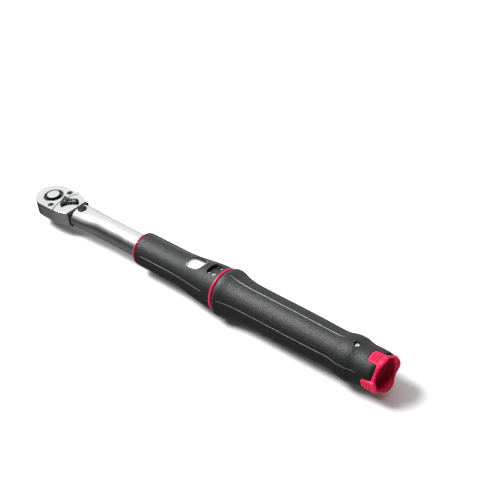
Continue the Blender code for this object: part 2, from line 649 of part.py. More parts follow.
def make_housing():
    inner = [(HOUSING_END, 16.1), (197.0, 15.9), (195.6, SLEEVE_R + 0.6), (141.0, SLEEVE_R + 0.6),
             (139.6, TUBE_R + GAP), (HOUSING_FRONT, TUBE_R + GAP)]
    housing = add_piece("front_housing", "frame", turned_x(housing_outer() + inner, WIDE), "black_nylon")
    window = rounded_rectangle((LENS_X, 0.0), [side + 2.0 * GAP for side in LENS_SIZE], 6.6)
    boolean(housing, "frame", prism(window, AXIS_Z + 5.0, AXIS_Z + 25.0))
    dial_window = rounded_rectangle((DIAL_X, 0.0), DIAL_SIZE, 2.2)
    boolean(housing, "frame", prism(dial_window, AXIS_Z + 5.0, AXIS_Z + 25.0))
    outline = rounded_rectangle((LENS_X, 0.0), LENS_SIZE, 6.3)
    lens = add_piece("magnifier_lens", "frame", prism(outline, AXIS_Z + 5.0, AXIS_Z + 25.0), "clear_plastic")
    shell = [(170.0, 14.4), (174.0, 15.3), (184.0, 16.6), (196.0, 17.8), (198.0, 17.9), (198.0, 13.2),
             (170.0, 13.2)]
    boolean(lens, "frame", turned_x(shell, WIDE), "INTERSECT")
    start = HOUSING_FRONT - 1.4
    end = HOUSING_FRONT - GAP
    front_ring = [(start, 10.3), (start, 13.8), (start + 0.4, 14.2), (end, 14.2), (end, 10.3)]
    add_piece("front_ring", "frame", turned_x(front_ring, WIDE), "red_plastic")
    start = HOUSING_END + GAP
    end = GRIP_FRONT - GAP
    rear_ring = [(start, 16.2), (start, 18.3), (start + 0.5, 18.8), (end - 0.5, 18.8), (end, 18.3),
                 (end, 16.2)]
    add_piece("rear_ring", "frame", turned_x(rear_ring, WIDE), "red_plastic")


# ---------------------------------------------------------------- handle

def grip_outer():
    return [(GRIP_FRONT, 18.4), (216.2, 19.5), (218.4, FLARE_R), (221.0, 19.5), (226.0, 18.1), (233.0, 16.9),
            (242.0, 16.2), (280.0, 16.0), (312.0, 15.6), (325.0, 15.4), (331.0, 15.9), (336.0, 17.0),
            (340.5, 17.4), (345.5, 17.1), (351.0, 16.3), (357.0, 15.9), (365.5, 15.8), (GRIP_END, 15.0)]


def tab_outline(width, front, rear):
    """A tab or its notch as seen along the radius: a strip with a rounded front corner at each side."""
    half = width / 2.0
    corner = 2.2
    left = arc((front + corner, half - corner), corner, 90.0, 180.0, 4)
    right = arc((front + corner, -half + corner), corner, 180.0, 270.0, 4)
    return [(rear, half)] + left + right + [(rear, -half)]


def make_grip():
    inner = [(GRIP_END, GRIP_MOUTH_R), (330.6, GRIP_MOUTH_R), (330.6, GRIP_BORE_R), (300.0, GRIP_BORE_R),
             (298.0, 12.6), (250.0, 12.6), (248.0, GRIP_BORE_R), (GRIP_FRONT, GRIP_BORE_R)]
    grip = add_piece("handle_grip", "handle", turned_x(grip_outer() + inner, WIDE), "black_nylon")
    for number in range(4):
        notch = prism(tab_outline(TAB_WIDTH + 2.0 * GAP, GRIP_END - TAB_LENGTH - GAP, GRIP_END + 5.0),
                      AXIS_Z + 9.0, AXIS_Z + 20.0)
        boolean(grip, "handle", radial(notch, TAB_ANGLE + 90.0 * number))
    hole = turned_z(rod_profile(AXIS_Z + 11.0, AXIS_Z + 22.0, 2.2), SET_SCREW_X, count=16)
    boolean(grip, "handle", radial(hole, SET_SCREW_ANGLE))
    dial = [(198.2, 13.1), (198.2, 15.3), (GRIP_FRONT - GAP, 15.3), (GRIP_FRONT - GAP, 13.1)]
    add_piece("dial_ring", "handle", turned_x(dial), "black_nylon")
    hub_ring = tube_profile(341.6, 352.0, SCREW_R + GAP, 10.3)
    hub = add_piece("handle_hub", "handle", turned_x(hub_ring, 24), "satin_steel")
    tapped = turned_z(rod_profile(AXIS_Z + 3.4, AXIS_Z + 14.0, 2.0), SET_SCREW_X, count=16)
    boolean(hub, "handle", radial(tapped, SET_SCREW_ANGLE))
    shank = rod_profile(AXIS_Z + 3.7, AXIS_Z + 15.6, 1.7, 0.4)
    screw = add_piece("set_screw", "handle", radial(turned_z(shank, SET_SCREW_X, count=16), SET_SCREW_ANGLE),
                      "chrome")
    hexagon = [(SET_SCREW_X + 0.9 * math.cos(a), 0.9 * math.sin(a)) for a in circle_points(6)]
    socket = prism(hexagon, AXIS_Z + 14.0, AXIS_Z + 17.0)
    boolean(screw, "handle", radial(socket, SET_SCREW_ANGLE))


def cap_wave(station, radius, angle):
    """The cap's rear rim dips between its four tabs."""
    if station < CAP_END - 3.0:
        return station, radius
    dip = 0.5 - 0.5 * math.cos(4.0 * (angle - math.radians(TAB_ANGLE)))
    return station - CAP_DIP * dip, radius


def make_lock_cap():
    flange = GRIP_END + GAP
    outer_r = CAP_INNER_R + CAP_WALL
    shape = [(CAP_FLOOR - 2.4, 0.0), (CAP_FLOOR - 2.4, CAP_INNER_R), (CAP_FRONT, CAP_INNER_R),
             (CAP_FRONT, outer_r), (flange, outer_r), (flange, 15.0), (flange + 0.6, 15.5),
             (CAP_END - 0.8, 15.2), (CAP_END, 14.4), (CAP_END - 0.8, outer_r), (CAP_END - 4.5, 12.0),
             (CAP_FLOOR + 1.0, 11.6), (CAP_FLOOR, 10.6), (CAP_FLOOR, 0.0)]
    cap = add_piece("lock_cap", "lock", turned_x(shape, WIDE, cap_wave), "red_plastic")
    for number in range(4):
        tab = prism(tab_outline(TAB_WIDTH, GRIP_END - TAB_LENGTH, flange + 0.5), AXIS_Z + 12.5,
                    AXIS_Z + 15.6)
        boolean(cap, "lock", radial(tab, TAB_ANGLE + 90.0 * number), "UNION")
    slot_half = 2.2
    slot_length = 2.0 * slot_half + CAP_TRAVEL
    slot_middle = SET_SCREW_X - CAP_TRAVEL / 2.0
    slot = prism(rounded_rectangle((slot_middle, 0.0), (slot_length, 2.0 * slot_half), 2.1), AXIS_Z + 8.0,
                 AXIS_Z + 16.0)
    boolean(cap, "lock", radial(slot, SET_SCREW_ANGLE))
    lip = tube_profile(CAP_FRONT + 0.4, PLUG_END - 0.4, SPLINE_TIP_R + GAP, CAP_INNER_R + CAP_WALL / 2.0)
    boolean(cap, "lock", turned_x(lip, WIDE), "UNION")


clear_scene()
materials = make_materials()
empties = make_bodies()
make_head()
make_cover()
make_drive()
make_release()
make_lever()
make_pawl()
make_tube()
make_click_mechanism()
make_scale_carriage()
make_screw_and_bearing()
make_housing()
make_grip()
make_lock_cap()
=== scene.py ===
"""The looks of the torque wrench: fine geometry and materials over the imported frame.

Lengths here are millimetres in the frame's axes; MM turns them into metres where a mesh is made.
Angles round the wrench's axis are degrees from +Y towards +Z, so 90 is the top.
"""

import json
import math

import bmesh
import bpy
from mathutils import Matrix, Vector


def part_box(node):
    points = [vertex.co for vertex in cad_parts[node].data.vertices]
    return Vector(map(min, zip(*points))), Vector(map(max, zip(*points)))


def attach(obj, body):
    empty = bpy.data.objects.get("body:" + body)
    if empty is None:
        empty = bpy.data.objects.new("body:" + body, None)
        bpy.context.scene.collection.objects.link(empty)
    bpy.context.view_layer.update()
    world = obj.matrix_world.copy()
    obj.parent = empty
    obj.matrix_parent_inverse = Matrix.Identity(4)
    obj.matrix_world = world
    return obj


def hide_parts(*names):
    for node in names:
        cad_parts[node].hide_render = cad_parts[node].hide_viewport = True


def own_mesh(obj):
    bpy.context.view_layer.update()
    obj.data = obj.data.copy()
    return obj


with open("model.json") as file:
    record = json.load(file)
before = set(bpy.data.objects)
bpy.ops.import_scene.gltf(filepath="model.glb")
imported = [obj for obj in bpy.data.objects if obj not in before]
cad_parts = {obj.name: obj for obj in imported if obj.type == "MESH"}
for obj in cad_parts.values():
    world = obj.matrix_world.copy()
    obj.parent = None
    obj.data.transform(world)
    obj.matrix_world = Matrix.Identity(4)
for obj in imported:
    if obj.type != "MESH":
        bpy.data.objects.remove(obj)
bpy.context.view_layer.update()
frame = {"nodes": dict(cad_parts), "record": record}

MM = 0.001


# ---------------------------------------------------------------- places, read from the frame

def box_mm(node):
    low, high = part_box(node)
    return Vector(low) / MM, Vector(high) / MM


def span(node, axis=0):
    low, high = box_mm(node)
    return low[axis], high[axis]


def radius_of(node):
    low, high = box_mm(node)
    return (high.y - low.y) / 2.0


AXIS_Z = sum(span("front_housing", 2)) / 2.0
HEAD_BOTTOM, DECK = span("head_body", 2)
COVER_LOW = span("cover_plate", 2)[0]
HEAD_NOSE = -span("head_body")[0]
HEAD_HALF_WIDTH = span("head_body", 1)[1]
PIN_X = sum(span("pivot_pin")) / 2.0
TUBE_END = span("tube")[1]
TUBE_R = 10.0
TUBE_WALL = 1.5
TUBE_ROUND = 74.0
PIN_HOLE_R = 3.3
NUT_TRAVEL = 18.0
BARREL_R = 14.4
BARREL_END = 160.0
HOUSING_FRONT, HOUSING_END = span("front_housing")
LENS_X = sum(span("magnifier_lens")) / 2.0
LENS_SEAT_R = 13.2
GRIP_FRONT, GRIP_END = span("handle_grip")
CAP_END = span("lock_cap")[1]
CAP_FRONT = 333.0
SET_SCREW_X = sum(span("set_screw")) / 2.0
SLEEVE_R = radius_of("scale_sleeve")
DIAL_R = radius_of("dial_ring")

HEAD_REAR = 32.2
NECK_END = 35.7
NECK_HALF = 6.35
TANG_HALF = 4.6
SEAM_MID = 13.6
SEAM_SIDE = 18.4
SEAM_GAP = 0.3
SEAM_WIDTH = 0.95
COVER_SCREWS = ((9.6, 10.9), (9.6, -10.9))
HUB_R = 8.6
BUTTON_R = radius_of("release_button")
BUTTON_CROWN = span("release_button", 2)[1] - 0.9
SQUARE = 9.53
BALL_HEIGHT = 5.5
LEVER_X = 17.8
LEVER_ANGLE = 32.0
DIAL_X = 205.0
SET_SCREW_ANGLE = 93.0
TAB_ANGLE = 98.0
TAB_WIDTH = 10.5
TAB_LENGTH = 8.5
TAB_CROWN_R = 16.0
RIDGE_HALF = 0.034


# ---------------------------------------------------------------- materials

def shader_of(name, colour, roughness, metallic=0.0, coat=0.0):
    material = bpy.data.materials.new(name)
    material.use_nodes = True
    shader = material.node_tree.nodes["Principled BSDF"]
    shader.inputs["Base Color"].default_value = (*colour, 1.0)
    shader.inputs["Roughness"].default_value = roughness
    shader.inputs["Metallic"].default_value = metallic
    shader.inputs["Coat Weight"].default_value = coat
    return material, shader


def add_node(material, kind, **inputs):
    node = material.node_tree.nodes.new(kind)
    for key, value in inputs.items():
        node.inputs[key.replace("_", " ")].default_value = value
    return node


def place_nodes(material, stretch=(1.0, 1.0, 1.0)):
    """Object coordinates in metres, scaled by the stretch."""
    where = add_node(material, "ShaderNodeTexCoord")
    mapping = add_node(material, "ShaderNodeMapping")
    mapping.inputs["Scale"].default_value = stretch
    material.node_tree.links.new(where.outputs["Object"], mapping.inputs["Vector"])
    return mapping.outputs["Vector"]


def noise(material, vector, scale, detail=3.0, roughness=0.5):
    node = add_node(material, "ShaderNodeTexNoise", Scale=scale, Detail=detail, Roughness=roughness)
    material.node_tree.links.new(vector, node.inputs["Vector"])
    return node.outputs["Fac"]


def ramp(material, factor, stops):
    """A colour ramp in a material or a world; each stop is (place, value or colour)."""
    node = add_node(material, "ShaderNodeValToRGB")
    elements = node.color_ramp.elements
    while len(elements) < len(stops):
        elements.new(0.5)
    for element, (place, value) in zip(elements, stops):
        element.position = place
        colour = value if isinstance(value, tuple) else (value, value, value)
        element.color = (*colour, 1.0)
    material.node_tree.links.new(factor, node.inputs["Fac"])
    return node.outputs["Color"]


def vary(material, shader, socket, factor, stops):
    """Lets a ramp over the factor drive a socket of the shader."""
    material.node_tree.links.new(ramp(material, factor, stops), shader.inputs[socket])


def bump(material, shader, height, strength, distance, below=None):
    node = add_node(material, "ShaderNodeBump", Strength=strength, Distance=distance)
    links = material.node_tree.links
    links.new(height, node.inputs["Height"])
    if below:
        links.new(below, node.inputs["Normal"])
    links.new(node.outputs["Normal"], shader.inputs["Normal"])
    return node.outputs["Normal"]


def mix_colour(material, factor, first, second):
    node = material.node_tree.nodes.new("ShaderNodeMix")
    node.data_type = "RGBA"
    links = material.node_tree.links
    links.new(factor, node.inputs[0])
    for socket, value in ((node.inputs[6], first), (node.inputs[7], second)):
        if isinstance(value, tuple):
            socket.default_value = (*value, 1.0)
        else:
            links.new(value, socket)
    return node.outputs[2]


def edges(material, low, high):
    """1 on worn convex edges, 0 elsewhere."""
    geometry = add_node(material, "ShaderNodeNewGeometry")
    return ramp(material, geometry.outputs["Pointiness"], [(low, 0.0), (high, 1.0)])


def polished_chrome():
    material, shader = shader_of("polished_chrome", (0.80, 0.81, 0.82), 0.12, 1.0)
    vector = place_nodes(material)
    cloudy = noise(material, vector, 90.0, 4.0, 0.6)
    vary(material, shader, "Roughness", cloudy, [(0.35, 0.12), (0.7, 0.2)])
    tint = noise(material, vector, 35.0, 2.0)
    vary(material, shader, "Base Color", tint, [(0.3, (0.79, 0.80, 0.815)), (0.7, (0.85, 0.855, 0.86))])
    scratches = noise(material, place_nodes(material, (60.0, 1900.0, 1900.0)), 1.0, 2.0)
    bump(material, shader, scratches, 0.02, 0.0001)
    return material


def satin_chrome():
    """The tube: plated over ground steel, with faint grinding marks round the tube and handling haze."""
    material, shader = shader_of("satin_chrome", (0.80, 0.805, 0.81), 0.24, 1.0)
    lay = noise(material, place_nodes(material, (2600.0, 40.0, 40.0)), 1.0, 3.0, 0.6)
    cloudy = noise(material, place_nodes(material), 55.0, 4.0, 0.6)
    vary(material, shader, "Roughness", cloudy, [(0.3, 0.2), (0.75, 0.31)])
    vary(material, shader, "Base Color", lay, [(0.3, (0.75, 0.755, 0.765)), (0.7, (0.84, 0.842, 0.845))])
    bump(material, shader, lay, 0.08, 0.0002)
    return material


def ground_steel(name, colour, roughness, metallic=1.0):
    material, shader = shader_of(name, colour, roughness, metallic)
    vector = place_nodes(material)
    haze = noise(material, vector, 220.0, 4.0, 0.65)
    vary(material, shader, "Roughness", haze, [(0.3, roughness - 0.07), (0.75, roughness + 0.12)])
    low = tuple(c * 0.8 for c in colour)
    vary(material, shader, "Base Color", haze, [(0.25, low), (0.7, colour)])
    bump(material, shader, noise(material, vector, 1800.0, 3.0), 0.08, 0.0002)
    return material


def black_oxide():
    colour = (0.006, 0.006, 0.007)
    material, shader = shader_of("black_oxide", colour, 0.2, 0.0, 0.15)
    vector = place_nodes(material)
    grain = noise(material, vector, 500.0, 4.0, 0.6)
    vary(material, shader, "Roughness", grain, [(0.3, 0.16), (0.75, 0.3)])
    rubbed = mix_colour(material, edges(material, 0.54, 0.64), colour, (0.05, 0.05, 0.053))
    material.node_tree.links.new(rubbed, shader.inputs["Base Color"])
    bump(material, shader, grain, 0.1, 0.0002)
    return material


def moulded(name, colour, shine, grain_scale, grain_depth, tone=0.25, specular=0.5):
    """Moulded plastic with a spark-eroded grain; the grain's peaks are rubbed a little smoother and paler."""
    material, shader = shader_of(name, colour, shine)
    shader.inputs["Specular IOR Level"].default_value = specular
    links = material.node_tree.links
    vector = place_nodes(material)
    grain = noise(material, vector, grain_scale, 4.0, 0.65)
    cells = add_node(material, "ShaderNodeTexVoronoi", Scale=grain_scale * 0.8)
    links.new(vector, cells.inputs["Vector"])
    low = tuple(c * (1.0 - tone) for c in colour)
    high = tuple(min(c * (1.0 + tone) + 0.004, 1.0) for c in colour)
    tinted = ramp(material, grain, [(0.3, low), (0.7, high)])
    worn = edges(material, 0.52, 0.6)
    pale = tuple(min(c * 1.5 + 0.02, 1.0) for c in colour)
    links.new(mix_colour(material, worn, tinted, pale), shader.inputs["Base Color"])
    vary(material, shader, "Roughness", grain, [(0.35, shine + 0.1), (0.65, shine - 0.08)])
    first = bump(material, shader, grain, 0.7, grain_depth)
    bump(material, shader, cells.outputs["Distance"], 0.4, grain_depth, first)
    return material


def enamel():
    material, shader = shader_of("white_enamel_painted_glow", (0.86, 0.86, 0.84), 0.35)
    vector = place_nodes(material)
    tint = noise(material, vector, 150.0, 3.0)
    vary(material, shader, "Base Color", tint, [(0.3, (0.83, 0.83, 0.81)), (0.7, (0.9, 0.9, 0.885))])
    # Painted light: a faint emission makes the white scale glow brighter than the lamps alone would light it.
    shader.inputs["Emission Color"].default_value = (0.9, 0.9, 0.89, 1.0)
    shader.inputs["Emission Strength"].default_value = 0.25
    bump(material, shader, noise(material, vector, 900.0), 0.05, 0.0002)
    return material


def ink(name, colour):
    material, shader = shader_of(name, colour, 0.5)
    dots = noise(material, place_nodes(material), 3500.0, 2.0)
    low = tuple(c * 0.85 for c in colour)
    vary(material, shader, "Base Color", dots, [(0.3, low), (0.7, colour)])
    return material


def clear_plastic():
    material = bpy.data.materials.new("clear_plastic")
    material.use_nodes = True
    nodes = material.node_tree.nodes
    links = material.node_tree.links
    nodes.remove(nodes["Principled BSDF"])
    through = nodes.new("ShaderNodeBsdfTransparent")
    through.inputs["Color"].default_value = (0.95, 0.965, 0.97, 1.0)
    gloss = nodes.new("ShaderNodeBsdfGlossy")
    gloss.inputs["Roughness"].default_value = 0.03
    edge = nodes.new("ShaderNodeLayerWeight")
    edge.inputs["Blend"].default_value = 0.3
    sheen = ramp(material, edge.outputs["Facing"], [(0.2, 0.04), (0.7, 0.1), (1.0, 0.7)])
    mix = nodes.new("ShaderNodeMixShader")
    bump(material, gloss, noise(material, place_nodes(material), 120.0), 0.03, 0.0003)
    links.new(sheen, mix.inputs[0])
    links.new(through.outputs["BSDF"], mix.inputs[1])
    links.new(gloss.outputs["BSDF"], mix.inputs[2])
    links.new(mix.outputs["Shader"], nodes["Material Output"].inputs["Surface"])
    return material


CHROME = polished_chrome()
SATIN = satin_chrome()
STEEL = ground_steel("ground_steel", (0.58, 0.59, 0.6), 0.22)
SPRING = ground_steel("spring_steel", (0.3, 0.31, 0.33), 0.28)
ZINC = ground_steel("bright_zinc", (0.85, 0.86, 0.87), 0.3, 0.3)
BRASS = ground_steel("machined_brass", (0.66, 0.47, 0.2), 0.26)
OXIDE = black_oxide()
NYLON = moulded("grained_black_nylon", (0.0085, 0.009, 0.0095), 0.42, 1350.0, 0.00034, 0.4, 0.34)
MATTE_BLACK = moulded("black_phosphate", (0.004, 0.004, 0.005), 0.42, 1800.0, 0.00008, 0.3, 0.14)
# Painted highlight: the ridges' crests are a paler, smoother black; the paleness stands for light caught
# along them.
RIDGE_HIGHLIGHT = moulded("ridge_painted_highlight", (0.055, 0.056, 0.058), 0.3, 900.0, 0.00003)
SMOOTH = moulded("smooth_black_nylon", (0.008, 0.008, 0.009), 0.3, 900.0, 0.00003)
# Painted highlight: an olive grey for the grip's front edge, standing for the light caught along it.
LIP_HIGHLIGHT = moulded("grip_lip_painted_highlight", (0.11, 0.11, 0.085), 0.3, 900.0, 0.00002, 0.1)
# Painted shade: a flat black put into gaps and onto sides where only shadow falls.
SHADE_BLACK = moulded("painted_shade_black", (0.003, 0.003, 0.003), 0.6, 900.0, 0.00004, 0.25, 0.08)
RED = moulded("red_plastic", (0.68, 0.003, 0.07), 0.36, 1100.0, 0.00004, 0.08, 0.32)
# Painted shade: a darker, rougher red for the inside of the cap's dish; the darkness stands for the shade in
# the hollow.
SHADED_RED = moulded("red_plastic_painted_shade", (0.34, 0.0015, 0.03), 0.5, 1100.0, 0.00006, 0.08, 0.25)
GLOWING_ENAMEL = enamel()
# Painted highlight: a pale grey for the lens rim, standing for the light caught along its clear edge.
RIM_HIGHLIGHT_GREY = moulded("lens_edge_painted_highlight", (0.62, 0.63, 0.64), 0.16, 700.0, 0.00002, 0.05)
LENS = clear_plastic()
BLACK_INK = ink("black_ink", (0.05, 0.05, 0.055))
RED_INK = ink("red_ink", (0.6, 0.03, 0.07))
WHITE_INK = ink("white_ink", (0.82, 0.82, 0.8))


# ---------------------------------------------------------------- shape helpers

def finish_mesh(name, mesh, material, smooth=32.0):
    bmesh.ops.scale(mesh, verts=mesh.verts, vec=(MM, MM, MM))
    bmesh.ops.recalc_face_normals(mesh, faces=mesh.faces)
    data = bpy.data.meshes.new(name)
    mesh.to_mesh(data)
    mesh.free()
    data.shade_smooth()
    data.set_sharp_from_angle(angle=math.radians(smooth))
    for one in material if isinstance(material, tuple) else (material,):
        data.materials.append(one)
    thing = bpy.data.objects.new(name, data)
    bpy.context.scene.collection.objects.link(thing)
    return thing


def even_normals(thing):
    step = thing.modifiers.new("even_normals", "WEIGHTED_NORMAL")
    step.keep_sharp = True
    step.weight = 80


def bake(thing, angle=32.0):
    """Replaces the object's mesh by what its modifiers make."""
    graph = bpy.context.evaluated_depsgraph_get()
    data = bpy.data.meshes.new_from_object(thing.evaluated_get(graph))
    thing.modifiers.clear()
    thing.data = data
    data.shade_smooth()
    data.set_sharp_from_angle(angle=math.radians(angle))


def cut(thing, *cutters, operation="DIFFERENCE"):
    """Booleans against bmeshes in millimetres, applied one after another."""
    for mesh in cutters:
        tool = finish_mesh("cutter", mesh, thing.data.materials[0])
        step = thing.modifiers.new("cut", "BOOLEAN")
        step.operation = operation
        step.solver = "EXACT"
        step.object = tool
        bake(thing)
        bpy.data.objects.remove(tool)


def publish(thing, body, slot, *nodes):
    """The piece rides on its body and hides the CAD nodes it stands for; the slot argument is not used."""
    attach(thing, body)
    if nodes:
        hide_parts(*nodes)


def rounded(points, closed=False, steps=4):
    """Rounds the corners of an outline; a point is (u, v) or (u, v, radius)."""
    made = []
    count = len(points)
    for i, point in enumerate(points):
        here = Vector(point[:2])
        radius = point[2] if len(point) > 2 else 0.0
        if radius == 0.0 or (not closed and i in (0, count - 1)):
            made.append(tuple(here))
            continue
        before = Vector(points[i - 1][:2]) - here
        after = Vector(points[(i + 1) % count][:2]) - here
        reach = min(radius, before.length * 0.48, after.length * 0.48)
        start = here + before.normalized() * reach
        end = here + after.normalized() * reach
        for k in range(steps + 1):
            t = k / steps
            spot = start * (1 - t) ** 2 + here * 2 * t * (1 - t) + end * t * t
            made.append(tuple(spot))
    return made


def arc(centre, radius, start, end, count):
    steps = [math.radians(start + (end - start) * i / (count - 1)) for i in range(count)]
    return [(centre[0] + radius * math.cos(a), centre[1] + radius * math.sin(a)) for a in steps]


def smooth_curve(points, per_span=6, closed=False):
    """A Catmull-Rom curve through the points."""
    made = []
    count = len(points)
    spans = count if closed else count - 1
    for i in range(spans):
        if closed:
            four = [Vector(points[(i + k) % count]) for k in (-1, 0, 1, 2)]
        else:
            four = [Vector(points[min(max(i + k, 0), count - 1)]) for k in (-1, 0, 1, 2)]
        for k in range(per_span):
            t = k / per_span
            a, b, c, d = four
            spot = 0.5 * ((2 * b) + (c - a) * t + (2 * a - 5 * b + 4 * c - d) * t * t
                          + (3 * b - a - 3 * c + d) * t ** 3)
            made.append(tuple(spot))
    if not closed:
        made.append(tuple(points[-1]))
    return made


def join_rings(mesh, rings, closed):
    pairs = list(zip(rings, rings[1:]))
    if closed:
        pairs.append((rings[-1], rings[0]))
    for low, high in pairs:
        count = max(len(low), len(high))
        for i in range(count):
            j = (i + 1) % count
            corners = [low[i % len(low)], low[j % len(low)], high[j % len(high)], high[i % len(high)]]
            unique = list(dict.fromkeys(corners))
            if len(unique) > 2:
                mesh.faces.new(unique)


def even_angles(count):
    return [2.0 * math.pi * i / count for i in range(count)]


def angles_with_ridges(count, lines):
    """Even angles, plus a close set of angles over each ridge; all in radians, sorted."""
    step = 2.0 * math.pi / count
    room = RIDGE_HALF + step * 0.4
    chosen = []
    for i in range(count):
        angle = i * step
        if all(abs(math.remainder(angle - middle, 2.0 * math.pi)) > room for middle, _, _ in lines):
            chosen.append(angle)
    for middle, _, _ in lines:
        chosen += [(middle + RIDGE_HALF * k / 4.0) % (2.0 * math.pi) for k in range(-4, 5)]
    return sorted(chosen)


def lathe(profile, axis="X", centre=(0.0, 0.0), angles=96, warp=None):
    """A turned solid, from axis to axis or a closed loop.

    warp(index, station, radius, angle) may move a point.
    """
    mesh = bmesh.new()
    closed = profile[0][1] > 0.0 and profile[-1][1] > 0.0
    if isinstance(angles, int):
        angles = even_angles(angles)
    rings = []
    for index, (station, radius) in enumerate(profile):
        ring = []
        for angle in (angles if radius > 0.0 else angles[:1]):
            s, r = warp(index, station, radius, angle) if warp else (station, radius)
            u = r * math.cos(angle)
            v = r * math.sin(angle)
            if axis == "X":
                ring.append(mesh.verts.new((s, centre[0] + u, centre[1] + v)))
            else:
                ring.append(mesh.verts.new((centre[0] + u, centre[1] + v, s)))
        rings.append(ring)
    join_rings(mesh, rings, closed)
    return mesh


def turned_x(profile, angles=128, warp=None):
    return lathe(profile, "X", (0.0, AXIS_Z), angles, warp)


def turned_z(profile, x=0.0, y=0.0, angles=64):
    return lathe(profile, "Z", (x, y), angles)


def inset(outline, distance):
    """Draws a smooth closed outline inwards along its normals."""
    count = len(outline)
    area = sum(outline[i][0] * outline[(i + 1) % count][1] - outline[(i + 1) % count][0] * outline[i][1]
               for i in range(count))
    side = 1.0 if area > 0.0 else -1.0
    made = []
    for i in range(count):
        along = Vector(outline[(i + 1) % count]) - Vector(outline[i - 1])
        inward = Vector((-along.y, along.x)).normalized() * side
        made.append(tuple(Vector(outline[i]) + inward * distance))
    return made


def slab(outline, low, high, top_edge=0.5, low_edge=0.0, steps=4):
    """An outline extruded along Z with rounded rims."""
    mesh = bmesh.new()
    turn = [0.5 * math.pi * k / steps for k in range(steps + 1)]
    fall = [(1 - math.sin(a), 1 - math.cos(a)) for a in turn]
    levels = [(low + low_edge * d, low_edge * n) for d, n in (fall[::-1] if low_edge else fall[:1])]
    levels += [(high - top_edge * d, top_edge * n) for d, n in (fall if top_edge else fall[:1])]
    rings = []
    for level, depth in levels:
        ring = inset(outline, depth) if depth else outline
        rings.append([mesh.verts.new((x, y, level)) for x, y in ring])
    join_rings(mesh, rings, False)
    mesh.faces.new(rings[0])
    mesh.faces.new(rings[-1])
    return mesh


def radial(mesh, angle):
    turn = Matrix.Rotation(math.radians(angle - 90.0), 3, "X")
    bmesh.ops.rotate(mesh, verts=mesh.verts, cent=(0.0, 0.0, AXIS_Z), matrix=turn)
    return mesh


def about(mesh, x, degrees):
    turn = Matrix.Rotation(math.radians(degrees), 3, "Z")
    bmesh.ops.rotate(mesh, verts=mesh.verts, cent=(x, 0.0, 0.0), matrix=turn)
    return mesh


def lay_across(mesh, height):
    """Lays a mesh's Z axis along the Y axis and lifts it to the height."""
    quarter = Matrix.Rotation(math.radians(90.0), 3, "X")
    bmesh.ops.rotate(mesh, verts=mesh.verts, cent=(0.0, 0.0, 0.0), matrix=quarter)
    bmesh.ops.translate(mesh, verts=mesh.verts, vec=(0.0, 0.0, height))
    return mesh


def mirrored(side):
    """The near side of an outline, from its far side, in the order that closes it."""
    return [(x, -y) for x, y in reversed(side)]


def rod(start, end, radius):
    return [(start, 0.0), (start, radius), (end, radius), (end, 0.0)]


def rounded_rectangle(centre, size, radius, count=9):
    half_x = size[0] / 2.0 - radius
    half_y = size[1] / 2.0 - radius
    points = []
    for side, (sx, sy) in enumerate([(1, 1), (-1, 1), (-1, -1), (1, -1)]):
        corner = (centre[0] + sx * half_x, centre[1] + sy * half_y)
        points += arc(corner, radius, 90.0 * side, 90.0 * side + 90.0, count)
    return points


def hexagon(centre, radius):
    return [(centre[0] + radius * math.cos(a), centre[1] + radius * math.sin(a)) for a in even_angles(6)]


# ---------------------------------------------------------------- ratchet head

def seam(shift, reach, count=33):
    rise = SEAM_SIDE - SEAM_MID
    radius = (rise * rise + HEAD_HALF_WIDTH * HEAD_HALF_WIDTH) / (2.0 * rise)
    half = math.degrees(math.asin(reach / radius))
    return arc((SEAM_MID + radius + shift, 0.0), radius, 180.0 - half, 180.0 + half, count)


def nose(count=61):
    angles = [math.radians(270.0 - 180.0 * i / (count - 1)) for i in range(count)]
    return [(HEAD_NOSE * math.cos(a), HEAD_HALF_WIDTH * math.sin(a)) for a in angles]


def head_outline():
    flank = smooth_curve([(6.0, 15.68), (12.0, 15.66), (SEAM_SIDE, 15.5), (22.5, 14.9), (26.5, 13.8),
                          (30.0, 12.3), (32.0, 11.0)], 5)
    corner = [(HEAD_REAR + 0.1, 9.7), (HEAD_REAR + 0.2, 8.0), (HEAD_REAR + 0.1, 4.0)]
    far_side = flank + corner
    return nose() + far_side + mirrored(far_side)


